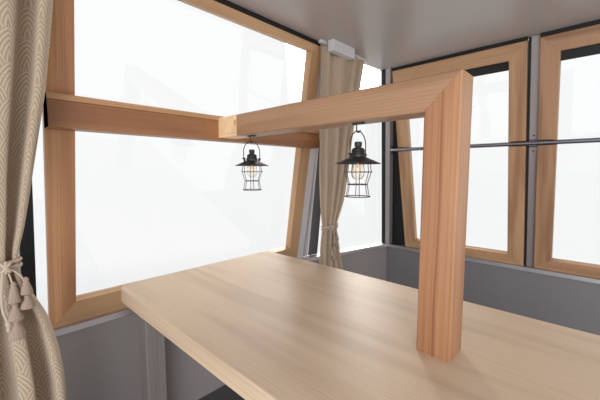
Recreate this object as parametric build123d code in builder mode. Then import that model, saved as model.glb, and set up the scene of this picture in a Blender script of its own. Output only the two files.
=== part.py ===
from build123d import *
import math
import os

os.makedirs("parts", exist_ok=True)

# Window corner of a cable car cabin, fitted out for dining.
# X runs across the cabin, away from the side wall. Y runs along the side wall, to the end wall.
# The origin is on the underside of the floor, in the middle of its length and width.
# All sizes are in millimetres.

# Floor and lower walls
FLOOR_WIDTH = 2200
FLOOR_LENGTH = 2770
FLOOR_THICKNESS = 80
DECK_THICKNESS = 20
WALL_THICKNESS = 70
SILL_HEIGHT = 620
LEDGE_THICKNESS = 25
LEDGE_NOSE = 14
TURN_FROM_END = 925
CORNER_FROM_SIDE = 215
FLOOR_CHAMFER = 6
FIXING_RADIUS = 7
FIXING_SPACING_X = 1480
FIXING_SPACING_Y = 2400

# Upper walls, which lean in towards the ceiling
CEILING_HEIGHT = 1990
ROOF_THICKNESS = 45
ROOF_CHAMFER = 15
ROOF_PAST_CORNER = 10
LEAN = 12.5
FRAME_SETBACK = 8
SEAL_HEIGHT = 12
SEAL_WIDTH = 16
SEAL_PROUD = 2
SEAT = 0.2

# Posts and panes
POST_WIDTH = 42
POST_FACE = 26
REAR_POST_WIDTH = 60
REAR_POST_FACE = 8
REAR_POST_BACK = 56
CORNER_POST = 70
CORNER_POST_PROUD = 14
CORNER_POST_LEAN = 135
CORNER_POST_GAP = 3
CORNER_GASKET = 34
CORNER_STRIP = 5
GASKET_WIDTH = 9
PANE_THICKNESS = 6
PANE_EDGE = 0.5
CORNER_PANE_EDGE = 1

# Timber frame of the side window
FRAME_DEPTH = 44
FRAME_ROUND = 4
MITRE_GAP = 0.4
SIDE_GLASS_FRONT = 482
SIDE_GLASS_FOOT_TO_TURN = 140
SIDE_GLASS_HEAD_TO_TURN = 229
SIDE_STILE_FRONT = 86
SIDE_STILE_BEVEL = (36, 14)
SIDE_STILE_REAR = 90
SIDE_SILL_BAR = 100
SIDE_HEAD_BAR = 45
FRONT_POST_TO_FRAME = 36
END_POST_MARGIN = 10

# Timber frames of the end windows, which share the wall's length
END_FIRST_WINDOW = 433
END_WINDOW_GAP = 57
END_OPEN_MARGIN = 13
END_WINDOW_WIDTH = (FLOOR_WIDTH - END_FIRST_WINDOW - 2 * END_WINDOW_GAP - END_OPEN_MARGIN) / 2
END_STILE = 90
END_SILL_BAR = 70
END_HEAD_BAR = 90
VENT_BAR_HEIGHT = 50
VENT_BAR_THICKNESS = 12

# Transom with its shelf
TRANSOM_UNDERSIDE = 1386
TRANSOM_HEIGHT = 90
TRANSOM_PROUD = 62
TRANSOM_OVERLAP = 2
SHELF_THICKNESS = 20
SHELF_NOSE = 6
BOARD_EDGE = 2

# Handrail across the end windows
RAIL_HEIGHT = 1409
RAIL_RADIUS = 13
RAIL_BEHIND_FACE = 8
RAIL_SLOT_SPARE = 3
RAIL_LIP = 15
SADDLE_LENGTH = 40
SADDLE_HEIGHT = 44
SADDLE_PLATE = 4
SADDLE_OVER_RAIL = 2
FLANGE_RADIUS = 30
FLANGE_THICKNESS = 5
FLANGE_NECK = (20, 16)

# Table
TABLE_HEIGHT = 750
TABLE_THICKNESS = 57
TABLE_LENGTH = 1800
TABLE_WIDTH = 860
TABLE_FROM_WALL = 110
TABLE_CENTRE_Y = -330
TABLE_CORNER = 60
TABLE_EDGE = 5
LEG_SIZE = 80
LEG_INSET = 60

# Post and beam portal
TIMBER = 90
TIMBER_EDGE = 3
PORTAL_Y = -315
PORTAL_REACH = 1050
BEAM_UNDERSIDE = 1397
END_BLOCK_LENGTH = 140

# Hooks and lanterns, hung from the beam
LANTERNS_FROM_POST = {"near": 229, "far": 774}
HOOK_PLATE_LENGTH = 42
HOOK_PLATE_WIDTH = 22
HOOK_PLATE_ROUND = 6
HOOK_PLATE_THICKNESS = 3
HOOK_WIRE = 4
HOOK_BEND = 7
HOOK_DROP = 30
BAIL_WIRE = 3.5
BAIL_TO_HOOK = 4.2
BAIL_SPAN = 88
BAIL_RISE = 74
EAR_PIN_RADIUS = 2
EAR_PIN_PLAY = 0.05
EAR_EYE_RADIUS = 4.5
EAR_EYE_WIDTH = 4.2
EAR_GAP = 1
EAR_TAB = 2.5
EAR_TAB_FOOT = 12
EAR_TAB_HEAD = 8
EAR_PIN_HEAD = 3
EAR_HEIGHT = 8
CAP_RADIUS = 12
CAP_HEIGHT = 19
CAP_NECK_RADIUS = 9.5
CAP_NECK_HEIGHT = 3
CAP_EDGE = 2
BODY_RADIUS = 24.5
BODY_HEIGHT = 29
SHOULDER_RADIUS = 15
SHOULDER_DROP = 6
DRUM_RADIUS = 21
SKIRT_HEIGHT = 11
SKIRT_EDGE = 2
RIB_HEIGHT = 2.4
RIB_PROUD = 1.2
RIB_DROPS = (8, 11.5)
BRIM_RADIUS = 70
BRIM_DROP = 20
BRIM_THICKNESS = 1.6
BRIM_BEAD = 1.8
CAGE_WIRE = 2.4
CAGE_RING_WIRE = 3.2
CAGE_BEND = 6
CAGE_RING_RADIUS = 45
CAGE_RING_DROP = 28
CAGE_WAIST_RADIUS = 32
CAGE_WAIST_DROP = 40
CAGE_FOOT_RADIUS = 40
CAGE_FOOT_DROP = 39
CAGE_WIRES = 6
CAGE_TURN = 12
CAGE_TOP_RADIUS = 40
BULB_RADIUS = 22
BULB_NECK_RADIUS = 13
BULB_NECK_LENGTH = 14
BULB_TIP_ROUND = 16
BULB_SHOULDER_ROUND = 18
BULB_LENGTH = 80
SOCKET_RADIUS = 14
SOCKET_LENGTH = 14

# Curtains, tie-backs and tracks
CURTAIN_SEAT = 0.3
CURTAIN_FLOOR_GAP = 45
CURTAIN_WAIST_SHARE = 0.8
CURTAIN_FLARE_HEIGHT = 0.3
CURTAIN_ROUND = 0.35
TIE_BAND_HEIGHT = 26
TIE_BAND_THICKNESS = 6
TASSEL_RADIUS = 17
TASSEL_NECK = 8
TASSEL_CORD_RADIUS = 3
# Each chain of tassels: its place from the waist's edge, and where each skirt starts and ends below the tie
TASSEL_CHAINS = ((-20, ((77, 134), (139, 178), (183, 233))), (14, ((69, 111), (122, 153))))
TRACK_WIDTH = 24
TRACK_HEIGHT = 16
TRACK_ROUND = 5
# Places along the side wall are from the floor's front edge, and the corner curtain's from the end wall
FRONT_CURTAIN = {"from_head": 54, "heading": 220, "heading_half": 212, "thickness": 70, "turn": 0,
                 "waist": 232, "waist_half": 60, "flare": 2.35, "hem_half": 190, "tie_height": 985}
CORNER_CURTAIN = {"from_head": 18, "heading": -879, "heading_half": 241, "thickness": 38, "turn": 0,
                  "waist": -985, "waist_half": 52, "flare": 2.4, "hem_half": 120, "tie_height": 885}

# White box on the ceiling, beside the corner curtain
BOX_WIDTH = 42
BOX_LENGTH = 215
BOX_HEIGHT = 60
BOX_FROM_HEAD = 41
BOX_FROM_END_WALL = 1075
BOX_EDGE = 4
BOX_RECESS = (6, 2)

# Roof beams, which carry the hanger
ROOF_BEAM_WIDTH = 80
ROOF_BEAM_HEIGHT = 60
ROOF_BEAM_SPACING = 700
ROOF_BEAM_LENGTH = 1500
ROOF_HOLE_RADIUS = 9
ROOF_HOLE_SPACING = 600

# Levels and lines that follow from the sizes
FLOOR_Z = FLOOR_THICKNESS + DECK_THICKNESS
SILL_Z = FLOOR_Z + SILL_HEIGHT
CEILING_Z = FLOOR_Z + CEILING_HEIGHT
RISE = CEILING_Z - SILL_Z
LEAN_SIN = math.sin(math.radians(LEAN))
LEAN_COS = math.cos(math.radians(LEAN))
LEAN_TAN = LEAN_SIN / LEAN_COS
SLOPE_LENGTH = RISE / LEAN_COS
POST_BACK = WALL_THICKNESS - FRAME_SETBACK
WALL_X = -FLOOR_WIDTH / 2
OPEN_X = FLOOR_WIDTH / 2
FRONT_Y = -FLOOR_LENGTH / 2
WALL_Y = FLOOR_LENGTH / 2
SIDE_X = WALL_X + WALL_THICKNESS - FRAME_SETBACK
END_Y = WALL_Y - WALL_THICKNESS + FRAME_SETBACK
TURN_Y = WALL_Y - TURN_FROM_END
CORNER_X = WALL_X + CORNER_FROM_SIDE


def side_x(z):
    """X of the side frames' room face at a height."""
    return SIDE_X + LEAN_TAN * (z - SILL_Z)


def end_y(z):
    """Y of the end frames' room face at a height."""
    return END_Y - LEAN_TAN * (z - SILL_Z)


SIDE_PLANE = Plane(origin=(SIDE_X, 0, SILL_Z), x_dir=(0, 1, 0), z_dir=(LEAN_COS, 0, -LEAN_SIN))
END_PLANE = Plane(origin=(0, END_Y, SILL_Z), x_dir=(1, 0, 0), z_dir=(0, -LEAN_COS, -LEAN_SIN))


def save(piece, name):
    piece.part.label = name
    export_step(piece.part, f"parts/{name}.step")


def between(a, b, share):
    return a + (b - a) * share


def prism(outline, bottom, top):
    """Upright solid over a plan outline."""
    with BuildPart() as piece:
        with BuildSketch(Plane.XY.offset(bottom)):
            Polygon(*outline, align=None)
        extrude(amount=top - bottom)
    return piece


def leaning(foot, head, bottom=SILL_Z + SEAT, top=CEILING_Z - SEAT):
    """Solid that leans from a foot outline at the ledge to a head outline at the ceiling."""
    with BuildPart() as piece:
        with BuildSketch(Plane.XY.offset(bottom)):
            Polygon(*foot, align=None)
        with BuildSketch(Plane.XY.offset(top)):
            Polygon(*head, align=None)
        loft(ruled=True)
    return piece


def rectangle(x0, x1, y0, y1):
    return [(x0, y0), (x1, y0), (x1, y1), (x0, y1)]


def mitred_bars(left_foot, right_foot, left_head, right_head, widths, top):
    """Corner points of the four bars of a frame: sill, rear stile, head, front stile."""
    front, rear, sill, head = widths
    inner_low, inner_high = sill, top - head
    outer = [(left_foot - front, 0), (right_foot + rear, 0), (right_head + rear, top), (left_head - front, top)]
    inner = [(left_foot, inner_low), (right_foot, inner_low), (right_head, inner_high), (left_head, inner_high)]
    names = ["sill", "stile_rear", "head", "stile_front"]
    return {name: [outer[i], outer[(i + 1) % 4], inner[(i + 1) % 4], inner[i]] for i, name in enumerate(names)}


def frame_bar(plane, corners, bevel=None):
    """One mitred timber bar, its long room edges rounded over or the outer one bevelled."""
    with BuildPart() as piece:
        with BuildSketch(plane):
            Polygon(*corners, align=None)
            offset(amount=-MITRE_GAP / 2)
        extrude(amount=-FRAME_DEPTH)
        face = piece.faces().sort_by(Axis(plane.origin, plane.z_dir))[-1]
        long_edges = face.edges().sort_by(Edge.length)[-2:].sort_by(Axis.Y)
        if bevel:
            fillet(long_edges[-1], radius=FRAME_ROUND)
            face = piece.faces().sort_by(Axis(plane.origin, plane.z_dir))[-1]
            chamfer(face.edges().sort_by(Axis.Y)[0], length=bevel[0], length2=bevel[1], reference=face)
        else:
            fillet(long_edges, radius=FRAME_ROUND)
    return piece


# Floor panel, with four fixing holes, and the deck between the lower walls
floor_outline = [(WALL_X, FRONT_Y), (OPEN_X, FRONT_Y), (OPEN_X, WALL_Y), (CORNER_X, WALL_Y), (WALL_X, TURN_Y)]
with BuildPart() as floor_panel:
    with BuildSketch():
        Polygon(*floor_outline, align=None)
    extrude(amount=FLOOR_THICKNESS)
    chamfer(floor_panel.faces().sort_by(Axis.Z)[0].edges(), length=FLOOR_CHAMFER)
    with BuildSketch():
        with GridLocations(FIXING_SPACING_X, FIXING_SPACING_Y, 2, 2):
            Circle(FIXING_RADIUS)
    extrude(amount=FLOOR_THICKNESS, mode=Mode.SUBTRACT)
save(floor_panel, "floor_panel")

# Inner plan line of the turned wall, parallel to its outer line
turn_length = math.hypot(CORNER_FROM_SIDE, TURN_FROM_END)
turn_dx, turn_dy = CORNER_FROM_SIDE / turn_length, TURN_FROM_END / turn_length
INNER_X = WALL_X + WALL_THICKNESS
INNER_Y = WALL_Y - WALL_THICKNESS


def turned_y(x, inset):
    """Y of the line that lies inset inside the turned wall's outer line."""
    start_x, start_y = WALL_X + inset * turn_dy, TURN_Y - inset * turn_dx
    return start_y + (x - start_x) * turn_dy / turn_dx


def turned_x(y, inset):
    start_x, start_y = WALL_X + inset * turn_dy, TURN_Y - inset * turn_dx
    return start_x + (y - start_y) * turn_dx / turn_dy


def turned_inner(x_line, y_line, inset):
    """Where the inset turned line meets the side wall's line and the end wall's line."""
    return (x_line, turned_y(x_line, inset)), (turned_x(y_line, inset), y_line)


inner_turn, inner_corner = turned_inner(INNER_X, INNER_Y, WALL_THICKNESS)
deck_outline = [(INNER_X, FRONT_Y), (OPEN_X, FRONT_Y), (OPEN_X, INNER_Y), inner_corner, inner_turn]
deck = prism(deck_outline, FLOOR_THICKNESS, FLOOR_Z)
save(deck, "deck")

# Lower wall panels, with the ledge on each
wall_top = SILL_Z - LEDGE_THICKNESS
side_outline = [(WALL_X, FRONT_Y), (INNER_X, FRONT_Y), inner_turn, (WALL_X, TURN_Y)]
turned_outline = [(WALL_X, TURN_Y), inner_turn, inner_corner, (CORNER_X, WALL_Y)]
end_outline = [(CORNER_X, WALL_Y), inner_corner, (OPEN_X, INNER_Y), (OPEN_X, WALL_Y)]
for name, outline in (("side", side_outline), ("corner", turned_outline), ("end", end_outline)):
    save(prism(outline, FLOOR_THICKNESS, wall_top), f"lower_wall_{name}")

nose = WALL_THICKNESS + LEDGE_NOSE
nose_turn, nose_corner = turned_inner(WALL_X + nose, WALL_Y - nose, nose)
side_ledge = [(WALL_X, FRONT_Y), (WALL_X + nose, FRONT_Y), nose_turn, (WALL_X, TURN_Y)]
turned_ledge = [(WALL_X, TURN_Y), nose_turn, nose_corner, (CORNER_X, WALL_Y)]
end_ledge = [(CORNER_X, WALL_Y), nose_corner, (OPEN_X, WALL_Y - nose), (OPEN_X, WALL_Y)]
for name, outline in (("side", side_ledge), ("corner", turned_ledge), ("end", end_ledge)):
    save(prism(outline, wall_top, SILL_Z), f"ledge_{name}")

# Timber frame of the side window, four mitred bars
side_top = SLOPE_LENGTH - (SEAL_HEIGHT + FRAME_DEPTH * LEAN_SIN) / LEAN_COS
glass_front = FRONT_Y + SIDE_GLASS_FRONT
glass_foot = TURN_Y - SIDE_GLASS_FOOT_TO_TURN
glass_head = TURN_Y - SIDE_GLASS_HEAD_TO_TURN
side_bars = mitred_bars(
    glass_front, glass_foot, glass_front, glass_head,
    (SIDE_STILE_FRONT, SIDE_STILE_REAR, SIDE_SILL_BAR, SIDE_HEAD_BAR), side_top)
for name, corners in side_bars.items():
    bar = frame_bar(SIDE_PLANE, corners, SIDE_STILE_BEVEL if name == "stile_front" else None)
    save(bar, f"side_frame_{name}")

# Timber frames of the end windows, with the stiles slotted for the handrail
rail_z = FLOOR_Z + RAIL_HEIGHT
rail_y = end_y(rail_z) + RAIL_BEHIND_FACE / LEAN_COS
slot_half = RAIL_RADIUS + RAIL_SLOT_SPARE
end_first = WALL_X + END_FIRST_WINDOW
window_pitch = END_WINDOW_WIDTH + END_WINDOW_GAP
end_starts = [end_first, end_first + window_pitch]
for number, start in enumerate(end_starts, 1):
    left, right = start + END_STILE, start + END_WINDOW_WIDTH - END_STILE
    bars = mitred_bars(left, right, left, right, (END_STILE, END_STILE, END_SILL_BAR, END_HEAD_BAR), side_top)
    slots = [(start - SEAT, END_STILE - RAIL_LIP), (right + RAIL_LIP, END_STILE - RAIL_LIP + SEAT)]
    with BuildPart() as end_frame:
        for corners in bars.values():
            add(frame_bar(END_PLANE, corners).part)
        # Each slot is open to the room up to the lip, where the tube goes behind the timber
        for slot_x, slot_length in slots:
            with BuildSketch(Plane.YZ.offset(slot_x)):
                with Locations((rail_y - FRAME_DEPTH / 2, rail_z)):
                    Rectangle(FRAME_DEPTH, 2 * slot_half)
            extrude(amount=slot_length, mode=Mode.SUBTRACT)
        with BuildSketch(Plane.YZ.offset(start - SEAT)):
            with Locations((rail_y, rail_z)):
                Circle(slot_half)
        extrude(amount=END_WINDOW_WIDTH + 2 * SEAT, mode=Mode.SUBTRACT)
    save(end_frame, f"end_frame_{number}")

# Black vent bar under the head of each end window, against the pane
with BuildPart() as vent_bars:
    with BuildSketch(END_PLANE.offset(VENT_BAR_THICKNESS - FRAME_DEPTH)):
        for start in end_starts:
            with Locations((start + END_WINDOW_WIDTH / 2, side_top - END_HEAD_BAR - VENT_BAR_HEIGHT / 2)):
                Rectangle(END_WINDOW_WIDTH - 2 * (END_STILE + SEAT), VENT_BAR_HEIGHT)
    extrude(amount=-VENT_BAR_THICKNESS)
save(vent_bars, "vent_bars")

# Posts of the side wall: open end, front, and rear, which follows the slanted stile
shift = LEAN_TAN * RISE
side_head_x = SIDE_X + shift
end_head_y = END_Y - shift
front_post_y = glass_front - SIDE_STILE_FRONT - FRONT_POST_TO_FRAME - POST_WIDTH
rear_foot_y = glass_foot + SIDE_STILE_REAR + GASKET_WIDTH
rear_head_y = glass_head + SIDE_STILE_REAR + GASKET_WIDTH
open_post_y = FRONT_Y + END_POST_MARGIN
narrow, wide = (POST_WIDTH, POST_FACE, POST_BACK), (REAR_POST_WIDTH, REAR_POST_FACE, REAR_POST_BACK)
side_posts = {
    "side_open": (open_post_y, open_post_y, narrow),
    "side_front": (front_post_y, front_post_y, narrow),
    "side_rear": (rear_foot_y, rear_head_y, wide)}
for name, (foot_y, head_y, (width, face, back)) in side_posts.items():
    foot = rectangle(SIDE_X - back, SIDE_X - face, foot_y, foot_y + width)
    head = rectangle(side_head_x - back, side_head_x - face, head_y, head_y + width)
    save(leaning(foot, head), f"post_{name}")



def end_strip(start, width):
    """Solid of the end posts' depth, which leans with the end wall."""
    foot = rectangle(start, start + width, END_Y + POST_FACE, END_Y + POST_BACK)
    head = rectangle(start, start + width, end_head_y + POST_FACE, end_head_y + POST_BACK)
    return leaning(foot, head)


# Posts of the end wall, each in the gap beside a window, with a gasket between it and the window
gasket_starts = [start + END_WINDOW_WIDTH + PANE_EDGE for start in end_starts]
post_starts = [start + END_WINDOW_WIDTH + END_WINDOW_GAP - POST_WIDTH - PANE_EDGE for start in end_starts]
gasket_width = post_starts[0] - gasket_starts[0] - SEAT
for name, gasket_start, start in zip(("end_middle", "end_open"), gasket_starts, post_starts):
    save(end_strip(start, POST_WIDTH), f"post_{name}")
    save(end_strip(gasket_start, gasket_width), f"gasket_{name}")

# Corner post, leaning both ways, with its gasket on the side of the turned pane
corner_head_x = end_first - CORNER_POST_GAP - CORNER_POST
corner_foot_x = corner_head_x - CORNER_POST_LEAN
corner_back = CORNER_POST - CORNER_POST_PROUD


def corner_half(near, far):
    foot = rectangle(corner_foot_x + near, corner_foot_x + far, END_Y - CORNER_POST_PROUD, END_Y + corner_back)
    head = rectangle(corner_head_x + near, corner_head_x + far,
                     end_head_y - CORNER_POST_PROUD, end_head_y + corner_back)
    return leaning(foot, head)


save(corner_half(CORNER_GASKET + SEAT, CORNER_POST), "post_corner")

# Panes, behind the timber frames and between the posts
pane_front, pane_back = FRAME_DEPTH / LEAN_COS + SEAT, (FRAME_DEPTH + PANE_THICKNESS) / LEAN_COS + SEAT

# The corner gasket also fills the tapered gap between the corner post and the first window
gap_start = CORNER_POST + SEAT
gap_end = end_first - SEAT
gap_back = pane_front - SEAT
gap_front = gap_back - CORNER_STRIP
gap_foot = rectangle(corner_foot_x + gap_start, gap_end, END_Y + gap_front, END_Y + gap_back)
gap_head = rectangle(corner_head_x + gap_start, gap_end, end_head_y + gap_front, end_head_y + gap_back)
gap_filler = leaning(gap_foot, gap_head)
corner_side = corner_half(0, CORNER_GASKET)
with BuildPart() as gasket_corner:
    add(corner_side.part)
    add(gap_filler.part)
save(gasket_corner, "gasket_corner")


def side_pane(foot_0, foot_1, head_0, head_1):
    return leaning(rectangle(SIDE_X - pane_back, SIDE_X - pane_front, foot_0, foot_1),
                   rectangle(side_head_x - pane_back, side_head_x - pane_front, head_0, head_1))


front_post_end = front_post_y + POST_WIDTH + PANE_EDGE
save(side_pane(front_post_end, rear_foot_y - PANE_EDGE, front_post_end, rear_head_y - PANE_EDGE), "pane_side")
open_pane_0, open_pane_1 = open_post_y + POST_WIDTH + PANE_EDGE, front_post_y - PANE_EDGE
save(side_pane(open_pane_0, open_pane_1, open_pane_0, open_pane_1), "pane_side_open")


def end_pane(foot_0, foot_1, head_0, head_1):
    return leaning(rectangle(foot_0, foot_1, END_Y + pane_front, END_Y + pane_back),
                   rectangle(head_0, head_1, end_head_y + pane_front, end_head_y + pane_back))


near_0, near_1 = corner_foot_x + CORNER_POST + PANE_EDGE, gasket_starts[0] - PANE_EDGE
near_head_0 = corner_head_x + CORNER_POST + PANE_EDGE
save(end_pane(near_0, near_1, near_head_0, near_1), "pane_end_near")
far_0, far_1 = post_starts[0] + POST_WIDTH + PANE_EDGE, gasket_starts[1] - PANE_EDGE
save(end_pane(far_0, far_1, far_0, far_1), "pane_end_far")

# Pane of the turned wall, from the rear side post to the corner post
turn_pane_x = POST_BACK / 2 + PANE_THICKNESS
foot_start = (SIDE_X - turn_pane_x, rear_foot_y + REAR_POST_WIDTH + CORNER_PANE_EDGE)
head_start = (side_head_x - turn_pane_x, rear_head_y + REAR_POST_WIDTH + CORNER_PANE_EDGE)
foot_end = (corner_foot_x - CORNER_PANE_EDGE, END_Y + PANE_THICKNESS)
head_end = (corner_head_x - CORNER_PANE_EDGE, end_head_y + PANE_THICKNESS)
foot = [foot_start, foot_end, (foot_end[0], foot_end[1] + PANE_THICKNESS * 2),
        (foot_start[0] - PANE_THICKNESS, foot_start[1])]
head = [head_start, head_end, (head_end[0], head_end[1] + PANE_THICKNESS * 2),
        (head_start[0] - PANE_THICKNESS, head_start[1])]
save(leaning(foot, head), "pane_corner")

# Roof panel, and the black seal between the frames and the ceiling
roof_outline = [
    (side_head_x - POST_BACK, FRONT_Y), (OPEN_X, FRONT_Y), (OPEN_X, end_head_y + POST_BACK),
    (corner_head_x - ROOF_PAST_CORNER, end_head_y + POST_BACK),
    (side_head_x - POST_BACK, rear_head_y + REAR_POST_WIDTH)]
with BuildPart() as roof_panel:
    with BuildSketch(Plane.XY.offset(CEILING_Z)):
        Polygon(*roof_outline, align=None)
    extrude(amount=ROOF_THICKNESS)
    chamfer(roof_panel.faces().sort_by(Axis.Z)[-1].edges(), length=ROOF_CHAMFER)
save(roof_panel, "roof_panel")

seal_low = CEILING_Z - SEAL_HEIGHT - FRAME_DEPTH * LEAN_SIN + SEAT
seal_back = seal_low + SEAL_WIDTH * LEAN_SIN
seal_top = CEILING_Z - SEAT
seal_reach = SEAL_WIDTH * LEAN_COS
side_seal_x, end_seal_y = side_x(seal_low), end_y(seal_low)
side_seal_y = glass_front - SIDE_STILE_FRONT
with BuildPart() as ceiling_seal:
    with BuildSketch(Plane.XZ.offset(-side_seal_y)):
        Polygon((side_seal_x + SEAL_PROUD, seal_low), (side_seal_x, seal_low),
                (side_seal_x - seal_reach, seal_back), (side_seal_x - seal_reach, seal_top),
                (side_seal_x + SEAL_PROUD, seal_top), align=None)
    extrude(amount=side_seal_y - glass_head - SIDE_STILE_REAR)
    for start in end_starts:
        with BuildSketch(Plane.YZ.offset(start)):
            Polygon((end_seal_y - SEAL_PROUD, seal_low), (end_seal_y, seal_low),
                    (end_seal_y + seal_reach, seal_back), (end_seal_y + seal_reach, seal_top),
                    (end_seal_y - SEAL_PROUD, seal_top), align=None)
        extrude(amount=END_WINDOW_WIDTH)
save(ceiling_seal, "ceiling_seal")

# Transom across the side window: a fascia board with a shelf board on it
transom_z = FLOOR_Z + TRANSOM_UNDERSIDE
shelf_z = transom_z + TRANSOM_HEIGHT
shelf_top = shelf_z + SHELF_THICKNESS
transom_face = side_x((transom_z + shelf_z) / 2) + TRANSOM_PROUD
transom_y0 = glass_front - SIDE_STILE_FRONT - TRANSOM_OVERLAP


def frame_rear_y(z):
    """Y of the rear stile's outer edge at a height."""
    return between(glass_foot, glass_head, (z - SILL_Z) / RISE) + SIDE_STILE_REAR


transom_y1 = frame_rear_y(transom_z)
for name, low, high, face in (("transom_fascia", transom_z, shelf_z, transom_face),
                              ("transom_shelf", shelf_z, shelf_top, transom_face + SHELF_NOSE)):
    with BuildPart() as board:
        with BuildSketch(Plane.XZ.offset(-transom_y0)):
            Polygon((side_x(low) + SEAT, low), (face, low), (face, high), (side_x(high) + SEAT, high),
                    align=None)
        extrude(amount=-(transom_y1 - transom_y0))
        fillet(board.edges().filter_by(Axis.Y).sort_by(Axis.X)[-2:], radius=BOARD_EDGE)
    save(board, name)

# Handrail: a tube with a flange at the corner post and a saddle on each end post
rail_share = (rail_z - SILL_Z) / RISE
rail_start = between(corner_foot_x, corner_head_x, rail_share) + CORNER_POST + CORNER_POST_GAP
rail_end = post_starts[1] + POST_WIDTH
saddle_low, saddle_high = rail_z - SADDLE_HEIGHT / 2, rail_z + SADDLE_HEIGHT / 2
saddle_low_y = end_y(saddle_low) + POST_FACE - SEAT
saddle_high_y = end_y(saddle_high) + POST_FACE - SEAT
with BuildPart() as handrail:
    with BuildSketch(Plane.YZ.offset(rail_start)):
        with Locations((rail_y, rail_z)):
            Circle(RAIL_RADIUS)
    extrude(amount=rail_end - rail_start)
    neck_radius, neck_end = FLANGE_NECK
    with BuildSketch(Plane.XY.offset(rail_z)):
        with Locations((rail_start, rail_y)):
            Polygon((0, 0), (0, FLANGE_RADIUS), (FLANGE_THICKNESS, FLANGE_RADIUS),
                    (FLANGE_THICKNESS, neck_radius), (neck_end, RAIL_RADIUS), (neck_end, 0), align=None)
    revolve(axis=Axis((0, rail_y, rail_z), (1, 0, 0)))
    for start in post_starts:
        middle = start + POST_WIDTH / 2
        with BuildSketch(Plane.YZ.offset(middle - SADDLE_LENGTH / 2)):
            Polygon((rail_y, rail_z - RAIL_RADIUS - SADDLE_OVER_RAIL),
                    (saddle_low_y - SADDLE_PLATE, saddle_low), (saddle_low_y, saddle_low),
                    (saddle_high_y, saddle_high), (saddle_high_y - SADDLE_PLATE, saddle_high),
                    (rail_y, rail_z + RAIL_RADIUS + SADDLE_OVER_RAIL), align=None)
        extrude(amount=SADDLE_LENGTH)
save(handrail, "handrail")

# Table top and its four legs
table_x0 = WALL_X + TABLE_FROM_WALL
table_x = table_x0 + TABLE_LENGTH / 2
table_z = FLOOR_Z + TABLE_HEIGHT
with BuildPart() as table_top:
    with BuildSketch(Plane.XY.offset(table_z - TABLE_THICKNESS)):
        with Locations((table_x, TABLE_CENTRE_Y)):
            RectangleRounded(TABLE_LENGTH, TABLE_WIDTH, TABLE_CORNER)
    extrude(amount=TABLE_THICKNESS)
    fillet(table_top.faces().sort_by(Axis.Z)[-1].edges(), radius=TABLE_EDGE)
save(table_top, "table_top")

leg_x = TABLE_LENGTH / 2 - LEG_INSET - LEG_SIZE / 2
leg_y = TABLE_WIDTH / 2 - LEG_INSET - LEG_SIZE / 2
leg_places = {"wall_front": (-1, -1), "wall_rear": (-1, 1), "free_front": (1, -1), "free_rear": (1, 1)}
for name, (sx, sy) in leg_places.items():
    with BuildPart() as leg:
        with BuildSketch(Plane.XY.offset(FLOOR_Z)):
            with Locations((table_x + sx * leg_x, TABLE_CENTRE_Y + sy * leg_y)):
                Rectangle(LEG_SIZE, LEG_SIZE)
        extrude(amount=TABLE_HEIGHT - TABLE_THICKNESS)
        chamfer(leg.edges().filter_by(Axis.Z), length=TIMBER_EDGE)
    save(leg, f"table_leg_{name}")

# Post and beam of square timber, mitred, with an end block against the transom
beam_z = FLOOR_Z + BEAM_UNDERSIDE
beam_top = beam_z + TIMBER
portal_x = transom_face + PORTAL_REACH
block_end = transom_face + END_BLOCK_LENGTH
block_x = transom_face + SHELF_NOSE + SEAT
portal_plane = Plane.XZ.offset(-(PORTAL_Y - TIMBER / 2))
with BuildPart() as portal_beam:
    with BuildSketch(portal_plane):
        Polygon((block_end + MITRE_GAP, beam_z), (portal_x - TIMBER - MITRE_GAP, beam_z),
                (portal_x - MITRE_GAP, beam_top), (block_end + MITRE_GAP, beam_top), align=None)
    extrude(amount=-TIMBER)
    chamfer(portal_beam.edges().filter_by(Axis.X), length=TIMBER_EDGE)
save(portal_beam, "portal_beam")

with BuildPart() as portal_post:
    with BuildSketch(portal_plane):
        Polygon((portal_x - TIMBER, table_z), (portal_x, table_z), (portal_x, beam_top),
                (portal_x - TIMBER, beam_z), align=None)
    extrude(amount=-TIMBER)
    chamfer(portal_post.edges().filter_by(Axis.Z), length=TIMBER_EDGE)
save(portal_post, "portal_post")

with BuildPart() as end_block:
    with BuildSketch(portal_plane):
        Polygon((transom_face + SEAT, beam_z), (block_end, beam_z), (block_end, beam_top), (block_x, beam_top),
                (block_x, shelf_z - SEAT), (transom_face + SEAT, shelf_z - SEAT), align=None)
    extrude(amount=-TIMBER)
save(end_block, "portal_end_block")

# Hooks and lanterns
# A lantern's sizes are measured down from the bail's top wire, which sits in the hook.
hook_seat_z = beam_z - HOOK_DROP
pivot_z = hook_seat_z + BAIL_TO_HOOK
ear_z = pivot_z - BAIL_RISE
brim_z = ear_z - EAR_HEIGHT
body_top = brim_z + BODY_HEIGHT
brim_low = brim_z - BRIM_DROP
ring_z = brim_low - CAGE_RING_DROP
waist_z = ring_z - CAGE_WAIST_DROP
foot_z = waist_z - CAGE_FOOT_DROP
brim_slope = BRIM_DROP / (BRIM_RADIUS - BODY_RADIUS)
tab_y = BAIL_SPAN / 2 - EAR_EYE_WIDTH / 2 - EAR_GAP
inner_radius = BODY_RADIUS - BRIM_THICKNESS
hood_inside_z = body_top - SHOULDER_DROP - BRIM_THICKNESS
skirt_top = brim_z + SKIRT_HEIGHT
drum_inside = DRUM_RADIUS - BRIM_THICKNESS
ribs = [(DRUM_RADIUS + proud, body_top - drop - step) for drop in RIB_DROPS
        for proud, step in ((0, 0), (RIB_PROUD, RIB_HEIGHT / 2), (0, RIB_HEIGHT))]
under_slope = BRIM_DROP / (BRIM_RADIUS - inner_radius)
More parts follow.
